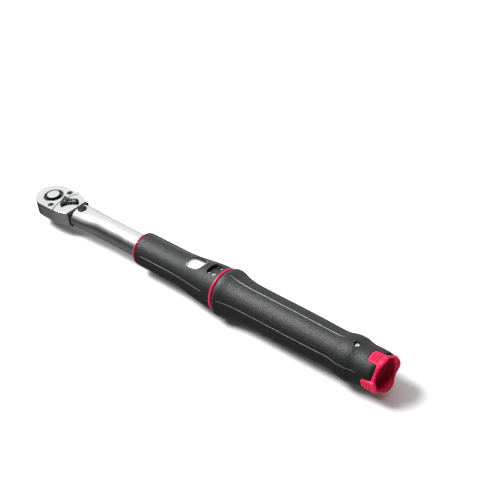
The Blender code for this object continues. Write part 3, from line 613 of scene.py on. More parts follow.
def make_head():
    head = finish_mesh("head_forging", slab(head_outline(), HEAD_BOTTOM, DECK, 0.4, 0.9), CHROME)
    front = [(-20.0, -20.0)] + seam(0.0, 20.0)[::-1] + [(-20.0, 20.0)]
    cut(head, slab(front, COVER_LOW - SEAM_GAP, DECK + 3.0, 0.0))
    well = [(6.0, -9.6), (16.0, -9.6), (24.2, -5.5), (24.2, 5.5), (16.0, 9.6), (6.0, 9.6)]
    cut(head, turned_z(rod(HEAD_BOTTOM + 2.3, COVER_LOW + 1.0, 10.7)))
    cut(head, slab(well, HEAD_BOTTOM + 2.31, COVER_LOW - SEAM_GAP + 0.01, 0.0))
    hub_hole = [(HEAD_BOTTOM - 1.0, 0.0), (HEAD_BOTTOM - 1.0, 8.9), (HEAD_BOTTOM + 0.6, 8.0),
                (HEAD_BOTTOM + 3.0, 8.0), (HEAD_BOTTOM + 3.0, 0.0)]
    cut(head, turned_z(hub_hole, angles=96))
    shaft = [(COVER_LOW - 2.0, 0.0), (COVER_LOW - 2.0, 2.9), (DECK - 0.3, 2.9), (DECK + 0.5, 3.7),
             (DECK + 0.5, 0.0)]
    cut(head, turned_z(shaft, LEVER_X))
    even_normals(head)
    publish(head, "head", "chrome", "head_body")
    far_side = smooth_curve([(HEAD_REAR - 1.5, 6.0), (35.0, 6.6), (PIN_X - 2.0, 7.0), (PIN_X + 4.0, 7.0),
                             (50.0, 5.4), (57.0, 4.9), (65.5, 4.6)], 3)
    outline = far_side + mirrored(far_side)
    tang = finish_mesh("head_tang", slab(outline, AXIS_Z - TANG_HALF, AXIS_Z + TANG_HALF, 0.6, 0.6), OXIDE)
    cut(tang, turned_z(rod(AXIS_Z - 8.0, AXIS_Z + 8.0, PIN_HOLE_R), PIN_X))
    even_normals(tang)
    publish(tang, "head", "black_oxide")
    collar_side = [(HEAD_REAR - 1.0, 10.8, 0.4), (NECK_END, 10.9, 0.4)]
    collar = rounded(collar_side + [(x, -y, r) for x, y, r in reversed(collar_side)], True, 3)
    block = slab(collar, AXIS_Z - NECK_HALF, AXIS_Z + NECK_HALF, 0.35, 0.35)
    neck = finish_mesh("neck_shoulder", block, MATTE_BLACK)
    even_normals(neck)
    publish(neck, "head", "black_oxide")
    # Painted shade: a black strip just under the deck fills the seam between cover plate and head, standing
    # for the shadow in that gap.
    strip = seam(-SEAM_WIDTH - 0.25, 15.35) + seam(0.12, 15.35)[::-1]
    painted_shade_black = finish_mesh("seam_painted_shade", slab(strip, COVER_LOW - 0.1, DECK - 0.05, 0.0), SHADE_BLACK)
    publish(painted_shade_black, "head", "black_oxide")
    # Painted shade: a black band between the cover plate's edge and the head stands for the shadow in that
    # groove.
    rim = inset(head_outline(), 0.12)
    band = finish_mesh("cover_groove_painted_shade", slab([point for point in rim if point[0] < SEAM_SIDE - 0.5],
                                            COVER_LOW - SEAM_GAP + 0.01, COVER_LOW - 0.01, 0.0), SHADE_BLACK)
    cut(band, turned_z(rod(COVER_LOW - 2.0, COVER_LOW + 2.0, 13.0)))
    publish(band, "head", "black_oxide")


def make_cover():
    flank = smooth_curve([(6.0, 15.68), (11.0, 15.66), (SEAM_SIDE - SEAM_WIDTH - 0.9, 15.54)], 4)
    outline = nose() + flank + seam(-SEAM_WIDTH, HEAD_HALF_WIDTH - 0.25)
    outline += mirrored(flank)
    cover = finish_mesh("cover_plate_fine", slab(outline, COVER_LOW, DECK, 0.35, 0.12), CHROME)
    bore = [(COVER_LOW - 1.0, 0.0), (COVER_LOW - 1.0, HUB_R + 0.3), (DECK - 0.35, HUB_R + 0.3),
            (DECK + 0.25, HUB_R + 0.9), (DECK + 0.25, 0.0)]
    cut(cover, turned_z(bore, angles=96))
    for number, (x, y) in enumerate(COVER_SCREWS, 1):
        sink = [(COVER_LOW - 1.0, 0.0), (COVER_LOW - 1.0, 1.5), (COVER_LOW + 0.6, 1.5), (DECK - 0.3, 2.75),
                (DECK + 0.4, 2.95), (DECK + 0.4, 0.0)]
        cut(cover, turned_z(sink, x, y, 48))
        profile = rounded([(COVER_LOW - 4.5, 0.0), (COVER_LOW - 4.5, 1.2), (COVER_LOW + 0.7, 1.2),
                           (DECK - 0.3, 2.45), (DECK - 0.15, 2.3, 0.1), (DECK - 0.2, 0.0)])
        screw = finish_mesh(f"cover_screw_fine_{number}", turned_z(profile, x, y, 48), OXIDE)
        cut(screw, slab(hexagon((x, y), 1.25), DECK - 1.3, DECK + 1.0, 0.0))
        even_normals(screw)
        publish(screw, "head", "black_oxide", f"cover_screw_{number}")
    even_normals(cover)
    publish(cover, "head", "chrome", "cover_plate")


def tooth_ring(tip, root, count=36):
    points = []
    for i in range(count):
        for offset, radius in ((-0.08, tip), (0.08, tip), (0.42, root), (0.58, root)):
            angle = (i + offset) * 2.0 * math.pi / count
            points.append((radius * math.cos(angle), radius * math.sin(angle)))
    return points


def make_drive():
    low = HEAD_BOTTOM + 2.6
    high = COVER_LOW - SEAM_GAP
    gear = finish_mesh("drive_gear_fine", slab(tooth_ring(10.3, 9.35), low, high, 0.0), STEEL)
    hub = rounded([(11.0, 0.0), (11.0, 7.7, 0.8), (low + 1.0, 7.7), (high - 1.0, HUB_R),
                   (DECK - 0.1, HUB_R, 0.2), (DECK - 1.35, 6.7), (DECK - 1.35, 0.0)])
    cut(gear, turned_z(hub, angles=96), operation="UNION")
    square = rounded_rectangle((0.0, 0.0), (SQUARE, SQUARE), 0.9, 5)
    cut(gear, slab(square, 0.0, 12.0, 0.0, 0.7), operation="UNION")
    pocket = [(1.3, 0.0), (1.3, 2.0), (AXIS_Z + 0.5, 2.0), (AXIS_Z + 0.5, BUTTON_R + 0.3),
              (DECK + 2.0, BUTTON_R + 0.3), (DECK + 2.0, 0.0)]
    cut(gear, turned_z(pocket, angles=72))
    mouth = SQUARE / 2.0 + 0.6
    bore = [(0.0, 0.0), (0.0, 1.95), (SQUARE / 2.0 - 0.2, 1.95), (mouth, 2.3), (mouth, 0.0)]
    cut(gear, lay_across(turned_z(bore, angles=40), BALL_HEIGHT))
    even_normals(gear)
    publish(gear, "drive", "satin_steel", "drive_gear")
    # Painted shade: a black ring in the hub's groove round the button stands for the shade in that groove.
    seal = rounded([(DECK - 1.6, 6.75), (DECK - 1.2, 6.75, 0.1), (DECK - 0.08, 8.45, 0.1), (DECK - 0.5, 8.5)])
    publish(finish_mesh("hub_painted_shade_ring", turned_z(seal, angles=96), MATTE_BLACK), "drive", "black_oxide")
    ball = bmesh.new()
    bmesh.ops.create_uvsphere(ball, u_segments=32, v_segments=20, radius=1.75)
    bmesh.ops.translate(ball, verts=ball.verts, vec=(0.0, -(SQUARE / 2.0 - 1.0), BALL_HEIGHT))
    publish(finish_mesh("detent_ball_fine", ball, STEEL), "ball", "satin_steel", "detent_ball")


def make_button():
    skirt = AXIS_Z + 3.3
    profile = rounded([
        (4.2, 0.0), (4.2, 1.7, 0.3), (5.5, 1.7), (8.4, 0.9, 0.2), (9.2, 1.7, 0.2), (skirt, 1.7),
        (skirt, BUTTON_R, 0.3), (DECK - 1.1, BUTTON_R, 0.2), (BUTTON_CROWN - 0.2, BUTTON_R - 0.6, 0.3),
        (BUTTON_CROWN, 0.0)])
    mesh = turned_z(profile, angles=96)
    # Painted shade: the button's side below the crown is made flat black, standing for the crescent of shade
    # round the raised button.
    for face in mesh.faces:
        middle = face.calc_center_median()
        if DECK - 1.3 < middle.z < BUTTON_CROWN - 0.22 and middle.xy.length > BUTTON_R - 0.8:
            face.material_index = 1
    button = finish_mesh("release_button_fine", mesh, (CHROME, SHADE_BLACK), 40.0)
    publish(button, "button", "chrome", "release_button")


def make_lever():
    """A thumb lever with two wings at the seam, a domed boss over its shaft and a raised pad at its tip."""
    foot = DECK + 0.3
    wing = arc((-2.55, 5.3), 1.2, 180.0, 50.0, 9)
    side = smooth_curve([wing[-1], (0.6, 3.9), (4.5, 2.75), (8.6, 2.35)], 6)[1:]
    tip = arc((9.6, 0.0), 2.3, 76.0, -76.0, 17)
    far_side = wing + side
    front = smooth_curve([(-3.75, -5.3), (-4.05, 0.0), (-3.75, 5.3)], 6)[1:-1]
    outline = far_side + tip + mirrored(far_side) + front
    blade = slab([(LEVER_X + x, y) for x, y in outline], foot, foot + 1.7, 0.55, 0.12, 6)
    lever = finish_mesh("reversing_lever_fine", about(blade, LEVER_X, LEVER_ANGLE), OXIDE)
    cut(lever, turned_z(rod(HEAD_BOTTOM + 2.6, foot + 1.0, 2.6), LEVER_X), operation="UNION")
    dome = rounded([(foot + 1.0, 0.0), (foot + 1.0, 3.1), (foot + 1.7, 3.1, 0.3), (foot + 2.5, 2.4, 0.8),
                    (foot + 2.75, 0.0)], steps=6)
    cut(lever, turned_z(dome, LEVER_X), operation="UNION")
    pad = arc((LEVER_X + 9.3, 0.0), 1.9, 90.0, -90.0, 15) + arc((LEVER_X + 6.6, 0.0), 1.7, 270.0, 90.0, 15)
    cut(lever, about(slab(pad, foot + 0.9, foot + 2.6, 0.8, 0.0, 6), LEVER_X, LEVER_ANGLE), operation="UNION")
    even_normals(lever)
    publish(lever, "lever", "black_oxide", "reversing_lever")


# ---------------------------------------------------------------- tube

def oval(x, shrink):
    share = min(max((TUBE_ROUND - x) / (TUBE_ROUND - PIN_X - 3.0), 0.0), 1.0)
    blend = share * share * (3.0 - 2.0 * share)
    return TUBE_R + 1.7 * blend - shrink, TUBE_R - 1.5 * blend - shrink


def make_tube():
    mesh = bmesh.new()
    front = NECK_END + 0.6
    bend = [front + 0.5 + 1.1 * i for i in range(33)] + [TUBE_ROUND, 90.0, HOUSING_FRONT, 160.0, 220.0, 300.0]
    lip = [(front, 0.5), (front + 0.07, 0.25), (front + 0.25, 0.07)]
    outer = lip + [(x, 0.0) for x in bend] + [(TUBE_END - 0.3, 0.0), (TUBE_END, 0.3)]
    inner = [(TUBE_END, TUBE_WALL)] + [(x, TUBE_WALL) for x in reversed(bend)] + [(front, TUBE_WALL)]
    rings = []
    for x, shrink in outer + inner:
        half_y, half_z = oval(x, shrink)
        rings.append([mesh.verts.new((x, half_y * math.cos(a), AXIS_Z + half_z * math.sin(a)))
                      for a in even_angles(128)])
    join_rings(mesh, rings, True)
    tube = finish_mesh("tube_fine", mesh, SATIN)
    cut(tube, turned_z(rod(AXIS_Z - 12.0, AXIS_Z + 12.0, PIN_HOLE_R), PIN_X, 0.0, 48))
    nut_low, nut_high = span("load_nut")
    middle = (nut_low + nut_high) / 2.0
    slot = rounded_rectangle((middle - NUT_TRAVEL / 2.0, 0.0), (NUT_TRAVEL + 4.8, 4.4), 2.1)
    cut(tube, lay_across(slab(slot, -14.0, 14.0, 0.0), AXIS_Z))
    even_normals(tube)
    publish(tube, "frame", "satin_steel", "tube")
    low, high = span("pivot_pin", 2)
    dome = high - 1.6
    profile = rounded([(low, 0.0), (low, 2.6, 0.3), (low + 0.4, 3.0), (dome, 3.0), (dome, 4.1, 0.1),
                       (dome + 0.5, 4.1, 0.5), (high - 0.5, 3.2, 0.8), (high - 0.05, 1.6, 0.8), (high, 0.0)])
    publish(finish_mesh("pivot_pin_fine", turned_z(profile, PIN_X), MATTE_BLACK, 45.0),
            "frame", "black_oxide", "pivot_pin")


# ---------------------------------------------------------------- housing

HOUSING_LINE = [(BARREL_END, BARREL_R), (166.0, 14.5), (174.0, 14.95), (184.0, 16.0), (196.0, 17.4),
                (206.0, 18.12), (211.6, 18.3)]


def housing_radius(x):
    if x <= BARREL_END:
        return BARREL_R
    curve = smooth_curve(HOUSING_LINE, 8)
    for (x0, r0), (x1, r1) in zip(curve, curve[1:]):
        if x <= x1:
            return r0 + (r1 - r0) * (x - x0) / (x1 - x0)
    return curve[-1][1]


def ridge_lines(start, ends):
    """Ridges along the wrench as (angle, start, end); ends maps degrees to the station where one stops."""
    return [(math.radians(degrees) % (2.0 * math.pi), start, end) for degrees, end in ends.items()]


def ridge_warp(lines, height, outer_count):
    """Raises fine lines along the outer skin, fading out at both ends."""
    def warp(index, station, radius, angle):
        if index >= outer_count:
            return station, radius
        for middle, start, end in lines:
            away = abs(math.remainder(angle - middle, 2.0 * math.pi)) / RIDGE_HALF
            fade = min(1.0, (station - start) / 2.0, (end - station) / 2.0)
            if away < 1.0 and fade > 0.0:
                return station, radius + height * fade * (0.5 + 0.5 * math.cos(math.pi * away))
        return station, radius
    return warp


def paint_ridges(mesh, lines, least_radius):
    """Gives the ridges' crests the second material, a paler black that is a painted highlight along each
    ridge.
    """
    for face in mesh.faces:
        centre = face.calc_center_median()
        arm = Vector((centre.y, centre.z - AXIS_Z))
        if arm.length < least_radius:
            continue
        angle = math.atan2(arm.y, arm.x)
        for middle, start, end in lines:
            away = abs(math.remainder(angle - middle, 2.0 * math.pi))
            if start < centre.x < end and away < 0.6 * RIDGE_HALF:
                face.material_index = 1
    return mesh


def make_ring(node, profile):
    ring = finish_mesh(node + "_fine", turned_x(rounded(profile, steps=6), 160), RED)
    publish(ring, "frame", "red_plastic", node)


def make_housing():
    lines = ridge_lines(128.5, {70.5: 204.0, 160.5: 204.0, 250.5: 204.0, 340.5: 204.0})
    lead = rounded([(HOUSING_FRONT, 10.4, 0.2), (HOUSING_FRONT, BARREL_R, 1.3), (128.0, BARREL_R)],
                   steps=8)[1:]
    body = [(x, BARREL_R) for x in (129.0, 130.0, 131.0, 140.0, 150.0, BARREL_END)]
    flare = [(x, housing_radius(x)) for x in [162.0 + 1.5 * i for i in range(33)]]
    tail = [(HOUSING_END - 0.5, 18.3), (HOUSING_END - 0.1, 18.15), (HOUSING_END, 17.8)]
    outer = lead + body + flare + tail
    inner = [(HOUSING_END, 16.1), (197.0, 15.9), (195.6, 12.6), (141.0, 12.6), (139.6, 10.3),
             (HOUSING_FRONT, 10.3)]
    angles = angles_with_ridges(112, lines)
    mesh = paint_ridges(turned_x(outer + inner, angles, ridge_warp(lines, 0.32, len(outer))), lines, 14.0)
    housing = finish_mesh("front_housing_fine", mesh, (NYLON, RIDGE_HIGHLIGHT))
    window = rounded_rectangle((LENS_X, 0.0), (19.1, 15.1), 6.6, 12)
    dial = rounded_rectangle((DIAL_X, 0.0), (10.5, 12.5), 2.2, 8)
    cut(housing, slab(window, AXIS_Z + 5.0, AXIS_Z + 25.0, 0.0), slab(dial, AXIS_Z + 5.0, AXIS_Z + 25.0, 0.0))
    even_normals(housing)
    publish(housing, "frame", "black_nylon", "front_housing")
    make_ring("front_ring", [(120.1, 10.3), (120.1, 14.2, 0.6), (121.2, 14.3, 0.3), (121.2, 10.3)])
    low, high = span("rear_ring")
    make_ring("rear_ring", [(low, 16.2), (low, 18.3, 0.3), (low + 0.5, 18.8, 0.7), (high - 0.7, 18.8, 0.7),
                            (high - 0.4, 17.6, 0.3), (high, 17.4), (high, 16.2)])


def make_lens():
    """A crowned clear window; its rim is pale grey as a painted highlight and its side wall black as painted
    shade.
    """
    outline = rounded_rectangle((LENS_X, 0.0), (18.5, 14.5), 6.3, 12)
    mesh = bmesh.new()

    def skin(x, y):
        return AXIS_Z + math.sqrt(housing_radius(x) ** 2 - y * y)

    def seat(y):
        return AXIS_Z + math.sqrt(LENS_SEAT_R ** 2 - y * y)

    rings = [[mesh.verts.new((LENS_X, 0.0, seat(0.0)))]]
    for share in (0.35, 0.7, 1.0):
        rings.append([mesh.verts.new((LENS_X + (x - LENS_X) * share, y * share, seat(y * share)))
                      for x, y in outline])
    rings.append([mesh.verts.new((x, y, 0.4 * seat(y) + 0.6 * skin(x, y))) for x, y in outline])
    for share, lift in ((1.0, -0.12), (0.995, 0.04), (0.98, 0.1), (0.965, 0.08), (0.955, 0.0), (0.9, 0.04),
                        (0.8, 0.2), (0.7, 0.34), (0.55, 0.46), (0.35, 0.55)):
        ring = []
        for x, y in outline:
            u = LENS_X + (x - LENS_X) * share
            v = y * share
            ring.append(mesh.verts.new((u, v, skin(u, v) + lift)))
        rings.append(ring)
    rings.append([mesh.verts.new((LENS_X, 0.0, skin(LENS_X, 0.0) + 0.58))])
    join_rings(mesh, rings, False)
    mesh.faces.ensure_lookup_table()
    count = len(outline)
    # Painted shade and painted highlight: the lens's side wall is black for the shade in the window's well,
    # and its rim pale grey for the light caught along the edge.
    for ring, material in ((3, 2), (4, 2), (5, 1), (6, 1)):
        for face in mesh.faces[ring * count:(ring + 1) * count]:
            face.material_index = material
    lens = finish_mesh("magnifier_lens_fine", mesh, (LENS, RIM_HIGHLIGHT_GREY, SHADE_BLACK), 50.0)
    publish(lens, "frame", "clear_plastic", "magnifier_lens")


def wrap_text(words, size, x, angle, radius, depth=0.04):
    """Text as a mesh in millimetres on a cylinder round the axis, read with the handle towards the reader."""
    curve = bpy.data.curves.new("words", "FONT")
    curve.body = words
    curve.size = size
    curve.align_x = "CENTER"
    curve.align_y = "CENTER"
    curve.extrude = depth
    curve.resolution_u = 3
    thing = bpy.data.objects.new("words", curve)
    bpy.context.scene.collection.objects.link(thing)
    bpy.context.view_layer.update()
    graph = bpy.context.evaluated_depsgraph_get()
    data = bpy.data.meshes.new_from_object(thing.evaluated_get(graph))
    mesh = bmesh.new()
    mesh.from_mesh(data)
    bmesh.ops.subdivide_edges(mesh, edges=[e for e in mesh.edges if e.calc_length() > 0.5], cuts=1)
    bmesh.ops.triangulate(mesh, faces=mesh.faces)
    bmesh.ops.remove_doubles(mesh, verts=mesh.verts, dist=0.0005)
    for vert in mesh.verts:
        across, along, height = vert.co
        turn = math.radians(angle) - across / radius
        reach = radius + height
        vert.co = (x - along, reach * math.cos(turn), AXIS_Z + reach * math.sin(turn))
    bpy.data.objects.remove(thing)
    bpy.data.meshes.remove(data)
    bpy.data.curves.remove(curve)
    return mesh


def wrap_bar(x, angle, width, thick, radius, lift=0.04):
    """A printed tick: a thin curved strip of that width round the cylinder."""
    mesh = bmesh.new()
    count = 9
    rings = []
    for i in range(count):
        turn = math.radians(angle) + width / radius * (i / (count - 1) - 0.5)
        ring = []
        for along, reach in ((-thick / 2, radius - lift), (thick / 2, radius - lift),
                             (thick / 2, radius + lift), (-thick / 2, radius + lift)):
            ring.append(mesh.verts.new((x + along, reach * math.cos(turn), AXIS_Z + reach * math.sin(turn))))
        rings.append(ring)
    join_rings(mesh, rings, False)
    mesh.faces.new(rings[0])
    mesh.faces.new(rings[-1])
    return mesh


def merge(meshes):
    whole = bmesh.new()
    for one in meshes:
        data = bpy.data.meshes.new("part")
        one.to_mesh(data)
        whole.from_mesh(data)
        one.free()
        bpy.data.meshes.remove(data)
    return whole


def make_scale():
    low, high = span("scale_sleeve")
    profile = rounded([(low, 10.6), (low, SLEEVE_R, 0.3), (high, SLEEVE_R, 0.3), (high, 10.6)])
    sleeve = finish_mesh("scale_sleeve_fine", turned_x(profile, 128), GLOWING_ENAMEL)
    publish(sleeve, "scale", "white_scale", "scale_sleeve")
    ticks = []
    numbers = []
    feet = []
    for step in range(10):
        x = LENS_X + 2.0 * step
        ticks.append(wrap_bar(x, 90.0, 2.8 if step % 2 == 0 else 1.8, 0.24, SLEEVE_R))
        if step % 2 == 0:
            torque = 20 + 10 * step
            numbers.append(wrap_text(str(torque), 2.6, x, 106.0, SLEEVE_R))
            feet.append(wrap_text(str(round(torque * 0.7376)), 2.6, x, 74.0, SLEEVE_R))
    for back in range(1, 6):
        ticks.append(wrap_bar(LENS_X - 2.0 * back, 90.0, 1.2, 0.24, SLEEVE_R))
    publish(finish_mesh("scale_ticks", merge(ticks), BLACK_INK), "scale", "white_scale")
    publish(finish_mesh("scale_newton_metres", merge(numbers), BLACK_INK), "scale", "white_scale")
    publish(finish_mesh("scale_pound_feet", merge(feet), RED_INK), "scale", "white_scale")
    index_line = wrap_bar(LENS_X, 90.0, 13.0, 0.34, LENS_SEAT_R + 0.1, 0.03)
    publish(finish_mesh("index_line", index_line, RED_INK), "frame", "clear_plastic")


def make_dial():
    low, high = span("dial_ring")
    profile = rounded([(low, 13.1), (low, DIAL_R, 0.4), (high, DIAL_R, 0.2), (high, 13.1)])
    dial = finish_mesh("dial_ring_fine", turned_x(profile, 128), SMOOTH)
    publish(dial, "handle", "black_nylon", "dial_ring")
    marks = []
    for digit in range(10):
        angle = 104.0 + 36.0 * digit
        marks.append(wrap_text(str(digit), 4.8, DIAL_X + 1.8, angle, DIAL_R))
        marks.append(wrap_bar(DIAL_X - 3.6, angle, 0.4, 2.0, DIAL_R))
    publish(finish_mesh("dial_digits", merge(marks), WHITE_INK), "handle", "black_nylon")


# ---------------------------------------------------------------- handle and lock cap

GRIP_LINE = [(218.4, 20.0), (221.0, 19.55), (226.0, 18.1), (233.0, 16.9), (242.0, 16.25), (260.0, 16.05),
             (280.0, 16.0), (300.0, 15.8), (316.0, 15.45), (325.0, 15.3), (331.0, 15.75), (335.5, 16.85),
             (340.0, 17.4), (344.5, 17.15), (348.5, 16.25), (352.0, 15.8), (357.0, 15.85), (363.8, 15.75)]


def tab_shape(width, front, rear, corner=3.2, count=8):
    half = width / 2.0
    left = arc((front + corner, half - corner), corner, 90.0, 180.0, count)
    right = arc((front + corner, -half + corner), corner, 180.0, 270.0, count)
    return [(rear, half)] + left + right + [(rear, -half)]


def make_grip():
    lines = ridge_lines(221.0, {90.0: 334.0, 162.0: 354.0, 234.0: 354.0, 306.0: 354.0, 18.0: 354.0})
    lead = rounded([(GRIP_FRONT, 16.0), (GRIP_FRONT, 18.9, 0.5), (GRIP_FRONT + 0.9, 19.2, 0.3),
                    (216.6, 19.85, 0.6), (218.4, 20.0)], steps=4)[1:-1]
    skin = smooth_curve(GRIP_LINE, 4)
    tail = [(365.2, 15.5), (366.1, 15.1), (366.7, 14.6), (GRIP_END, 14.05)]
    outer = lead + skin + tail
    inner = [(GRIP_END, 13.9), (GRIP_END - 0.5, 13.6), (CAP_FRONT - 2.4, 13.6), (CAP_FRONT - 2.4, 10.5),
             (300.0, 10.5), (298.0, 12.6), (250.0, 12.6), (248.0, 10.5), (GRIP_FRONT, 10.5)]
    angles = angles_with_ridges(110, lines)
    mesh = paint_ridges(turned_x(outer + inner, angles, ridge_warp(lines, 0.3, len(outer))), lines, 15.2)
    grip = finish_mesh("handle_grip_fine", mesh, (NYLON, RIDGE_HIGHLIGHT))
    for number in range(4):
        notch = slab(tab_shape(TAB_WIDTH + 0.6, GRIP_END - TAB_LENGTH - 0.3, GRIP_END + 5.0), AXIS_Z + 9.0,
                     AXIS_Z + 20.0, 0.0)
        cut(grip, radial(notch, TAB_ANGLE + 90.0 * number))
    hole = [(AXIS_Z + 11.0, 0.0), (AXIS_Z + 11.0, 2.2), (AXIS_Z + 16.6, 2.2), (AXIS_Z + 18.0, 3.0),
            (AXIS_Z + 18.0, 0.0)]
    cut(grip, radial(turned_z(hole, SET_SCREW_X, 0.0, 40), SET_SCREW_ANGLE))
    even_normals(grip)
    publish(grip, "handle", "black_nylon", "handle_grip")
    # Painted highlight: a smooth, paler band round the grip's front edge stands for the light it catches.
    band = [(GRIP_FRONT + 1.25, 19.3), (GRIP_FRONT + 1.2, 19.5, 0.1), (GRIP_FRONT + 2.0, 19.86, 0.2),
            (GRIP_FRONT + 3.1, 19.99, 0.2), (GRIP_FRONT + 3.3, 19.9), (GRIP_FRONT + 3.3, 19.3)]
    publish(finish_mesh("grip_lip_painted_highlight", turned_x(rounded(band), 160), LIP_HIGHLIGHT), "handle", "black_nylon")
    profile = rounded([(AXIS_Z + 3.7, 0.0), (AXIS_Z + 3.7, 1.4), (AXIS_Z + 4.1, 1.7),
                       (AXIS_Z + 15.4, 1.7, 0.4), (AXIS_Z + 15.6, 1.1, 0.3), (AXIS_Z + 15.6, 0.0)])
    shank = radial(turned_z(profile, SET_SCREW_X, 0.0, 32), SET_SCREW_ANGLE)
    screw = finish_mesh("set_screw_fine", shank, ZINC)
    socket = slab(hexagon((SET_SCREW_X, 0.0), 0.9), AXIS_Z + 14.0, AXIS_Z + 17.0, 0.0)
    cut(screw, radial(socket, SET_SCREW_ANGLE))
    even_normals(screw)
    publish(screw, "handle", "chrome", "set_screw")


def rim_dip(angle):
    return 0.5 - 0.5 * math.cos(4.0 * (angle - math.radians(TAB_ANGLE)))


def crown(mesh, radius):
    """Bends a flat top over, so that it follows a cylinder of that radius."""
    for vert in mesh.verts:
        vert.co.z += math.sqrt(max(radius ** 2 - vert.co.y ** 2, 0.0)) - radius
    return mesh


def make_lock_cap():
    flange = GRIP_END + 0.3
    body = rounded([
        (CAP_FRONT, 12.0), (CAP_FRONT, 13.2, 0.3), (flange, 13.2), (flange, 15.3, 0.3),
        (CAP_END - 0.9, 15.3, 0.6), (CAP_END, 14.5, 0.5), (CAP_END - 0.6, 13.3, 0.6),
        (CAP_END - 4.5, 12.0, 0.8), (362.0, 11.6, 0.8), (361.0, 10.6, 0.6), (361.2, 0.0)], steps=5)

    def wave(station, radius, angle):
        dip = rim_dip(angle)
        if station > flange + 0.1 or radius > 13.3:
            radius = min(radius, 11.6 + (radius - 11.6) * (1.0 - 0.4 * dip * dip))
        if station > CAP_END - 3.0:
            station -= 1.8 * dip
        return station, radius

    mesh = bmesh.new()
    rings = []
    for station, radius in body + [(358.6, 0.0), (358.6, 12.0)]:
        ring = []
        for angle in even_angles(144 if radius > 0.0 else 1):
            s, r = wave(station, radius, angle)
            ring.append(mesh.verts.new((s, r * math.cos(angle), AXIS_Z + r * math.sin(angle))))
        rings.append(ring)
    join_rings(mesh, rings[:-2], False)
    join_rings(mesh, [rings[-2], rings[-1], rings[0]], False)
    # Painted shade: faces inside the cap's dish take the darker red for the shade in the hollow.
    for face in mesh.faces:
        middle = face.calc_center_median()
        if middle.x > 360.0 and math.hypot(middle.y, middle.z - AXIS_Z) < 12.4:
            face.material_index = 1
    cap = finish_mesh("lock_cap_fine", mesh, (RED, SHADED_RED))
    low = SET_SCREW_X - 8.2
    high = SET_SCREW_X + 2.2
    slot = rounded_rectangle(((low + high) / 2.0, 0.0), (high - low, 4.4), 2.1)
    cut(cap, radial(slab(slot, AXIS_Z + 8.0, AXIS_Z + 16.0, 0.0), SET_SCREW_ANGLE))
    even_normals(cap)
    publish(cap, "lock", "red_plastic", "lock_cap")
    for number in range(4):
        angle = TAB_ANGLE + 90.0 * number
        outline = tab_shape(TAB_WIDTH, GRIP_END - TAB_LENGTH, flange + 2.4)
        tab = crown(slab(outline, AXIS_Z + 12.9, AXIS_Z + 15.75, 0.7), TAB_CROWN_R)
        piece = finish_mesh(f"lock_tab_{number + 1}", radial(tab, angle), RED)
        even_normals(piece)
        publish(piece, "lock", "red_plastic")
        ribs = []
        for step in range(3):
            x = GRIP_END - TAB_LENGTH + 2.4 + 2.3 * step
            half = TAB_WIDTH / 2.0 - 1.3
            outline = rounded([(x - 0.5, -half, 0.5), (x + 0.5, -half, 0.5), (x + 0.5, half, 0.5),
                               (x - 0.5, half, 0.5)], True)
            rib = crown(slab(outline, AXIS_Z + 15.2, AXIS_Z + 16.1, 0.45), TAB_CROWN_R)
            ribs.append(radial(rib, angle))
        publish(finish_mesh(f"lock_tab_ribs_{number + 1}", merge(ribs), RED), "lock", "red_plastic")


# ---------------------------------------------------------------- springs

def coil_spring(name, axis, middle, reach, wire, turns):
    """A coil in the box of the CAD spring of that name, with a closed turn at each end."""
    start, end = span(name, axis)
    radius = reach - wire / 2.0
    along_room = end - start - wire
    shut = wire * 1.02 if wire * 2.5 < along_room / 2.0 else along_room / turns
    steps = round(36 * turns)
    mesh = bmesh.new()
    rings = []
    for i in range(steps + 1):
        turn = turns * i / steps
        if turn < 1.0:
            along = shut * turn
        elif turn > turns - 1.0:
            along = along_room - shut * (turns - turn)
        else:
            along = shut + (along_room - 2.0 * shut) * (turn - 1.0) / (turns - 2.0)
        ring = []
        for b in even_angles(12):
            r = radius + wire / 2.0 * math.cos(b)
            s = start + wire / 2.0 + along + wire / 2.0 * math.sin(b)
            u = middle[0] + r * math.cos(2.0 * math.pi * turn)
            v = middle[1] + r * math.sin(2.0 * math.pi * turn)
            ring.append(mesh.verts.new((s, u, v) if axis == 0 else (u, v, s)))
        rings.append(ring)
    join_rings(mesh, rings, False)
    mesh.faces.new(rings[0])
    mesh.faces.new(rings[-1])
    return finish_mesh(name + "_fine", mesh, SPRING, 50.0)


def make_springs():
    spring = coil_spring("main_spring", 0, (0.0, AXIS_Z), radius_of("main_spring"), 2.8, 11.0)
    publish(spring, "frame", "spring_steel", "main_spring")
    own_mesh(spring)
    spring = coil_spring("release_spring", 2, (0.0, 0.0), radius_of("release_spring"), 0.7, 2.5)
    publish(spring, "drive", "spring_steel", "release_spring")
    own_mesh(spring)


# ---------------------------------------------------------------- hidden pieces, floor, light and camera

INNER = {
    "satin_steel": STEEL,
    "spring_steel": SPRING,
    "brass": BRASS,
    "black_oxide": OXIDE,
}


def paint_inner_nodes():
    slots = {entry["node"]: entry["material_slot"] for entry in frame["record"]["subparts"]}
    for name, node in frame["nodes"].items():
        material = INNER.get(slots[name])
        if material:
            node.data.materials.clear()
            node.data.materials.append(material)


def make_floor():
    mesh = bmesh.new()
    bmesh.ops.create_grid(mesh, x_segments=2, y_segments=2, size=4000.0)
    material, shader = shader_of("pale_floor", (0.86, 0.86, 0.86), 0.75)
    grain = noise(material, place_nodes(material), 12.0, 3.0)
    vary(material, shader, "Base Color", grain, [(0.3, 0.85), (0.7, 0.87)])
    floor = finish_mesh("floor", mesh, material)
    floor.location.z = -0.0002
    floor.visible_glossy = False


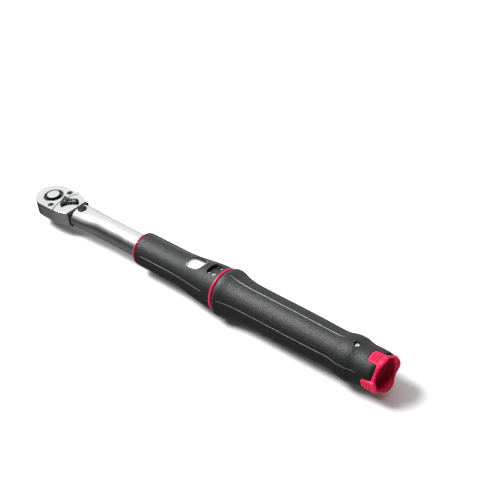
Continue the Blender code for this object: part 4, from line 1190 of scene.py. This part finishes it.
def add_light(name, place, target, size, power):
    data = bpy.data.lights.new(name, "AREA")
    data.shape = "RECTANGLE"
    data.size, data.size_y = size
    data.energy = power
    lamp = bpy.data.objects.new(name, data)
    lamp.location = place
    aim = Vector(target) - Vector(place)
    lamp.rotation_euler = aim.to_track_quat("-Z", "Y").to_euler()
    bpy.context.scene.collection.objects.link(lamp)


def make_light():
    """A pale sky, brightest over the drive's far side and dark low down on the near side."""
    world = bpy.data.worlds.new("studio")
    bpy.context.scene.world = world
    world.use_nodes = True
    nodes = world.node_tree.nodes
    links = world.node_tree.links
    back = nodes["Background"]
    where = nodes.new("ShaderNodeTexCoord")
    tilt = nodes.new("ShaderNodeVectorMath")
    tilt.operation = "DOT_PRODUCT"
    tilt.inputs[1].default_value = (-0.25, 0.25, 0.375)
    middle = nodes.new("ShaderNodeMath")
    middle.operation = "ADD"
    middle.inputs[1].default_value = 0.5
    links.new(where.outputs["Generated"], tilt.inputs[0])
    links.new(tilt.outputs["Value"], middle.inputs[0])
    levels = [(0.0, 0.2), (0.33, 0.15), (0.46, 0.035), (0.54, 0.05), (0.75, 0.42), (0.9, 0.95)]
    links.new(ramp(world, middle.outputs["Value"], levels), back.inputs["Color"])
    add_light("softbox", (-0.2, -0.25, 0.8), (0.18, 0.0, 0.0), (0.4, 0.4), 16.0)


def make_camera():
    data = bpy.data.cameras.new("camera")
    data.lens = 79.0
    data.sensor_width = 36.0
    camera = bpy.data.objects.new("camera", data)
    place = Vector((719.1, -433.5, 557.5)) * MM
    target = Vector((193.1, 49.6, 20.0)) * MM
    aim = (target - place).to_track_quat("-Z", "Y")
    roll = Matrix.Rotation(math.radians(-7.36), 4, "Z")
    camera.matrix_world = Matrix.Translation(place) @ aim.to_matrix().to_4x4() @ roll
    bpy.context.scene.collection.objects.link(camera)
    bpy.context.scene.camera = camera


make_camera()
make_head()
make_cover()
make_drive()
make_button()
make_lever()
make_tube()
make_housing()
make_lens()
make_scale()
make_dial()
make_grip()
make_lock_cap()
make_springs()
paint_inner_nodes()
make_floor()
make_light()
bpy.context.scene.view_settings.view_transform = "Standard"
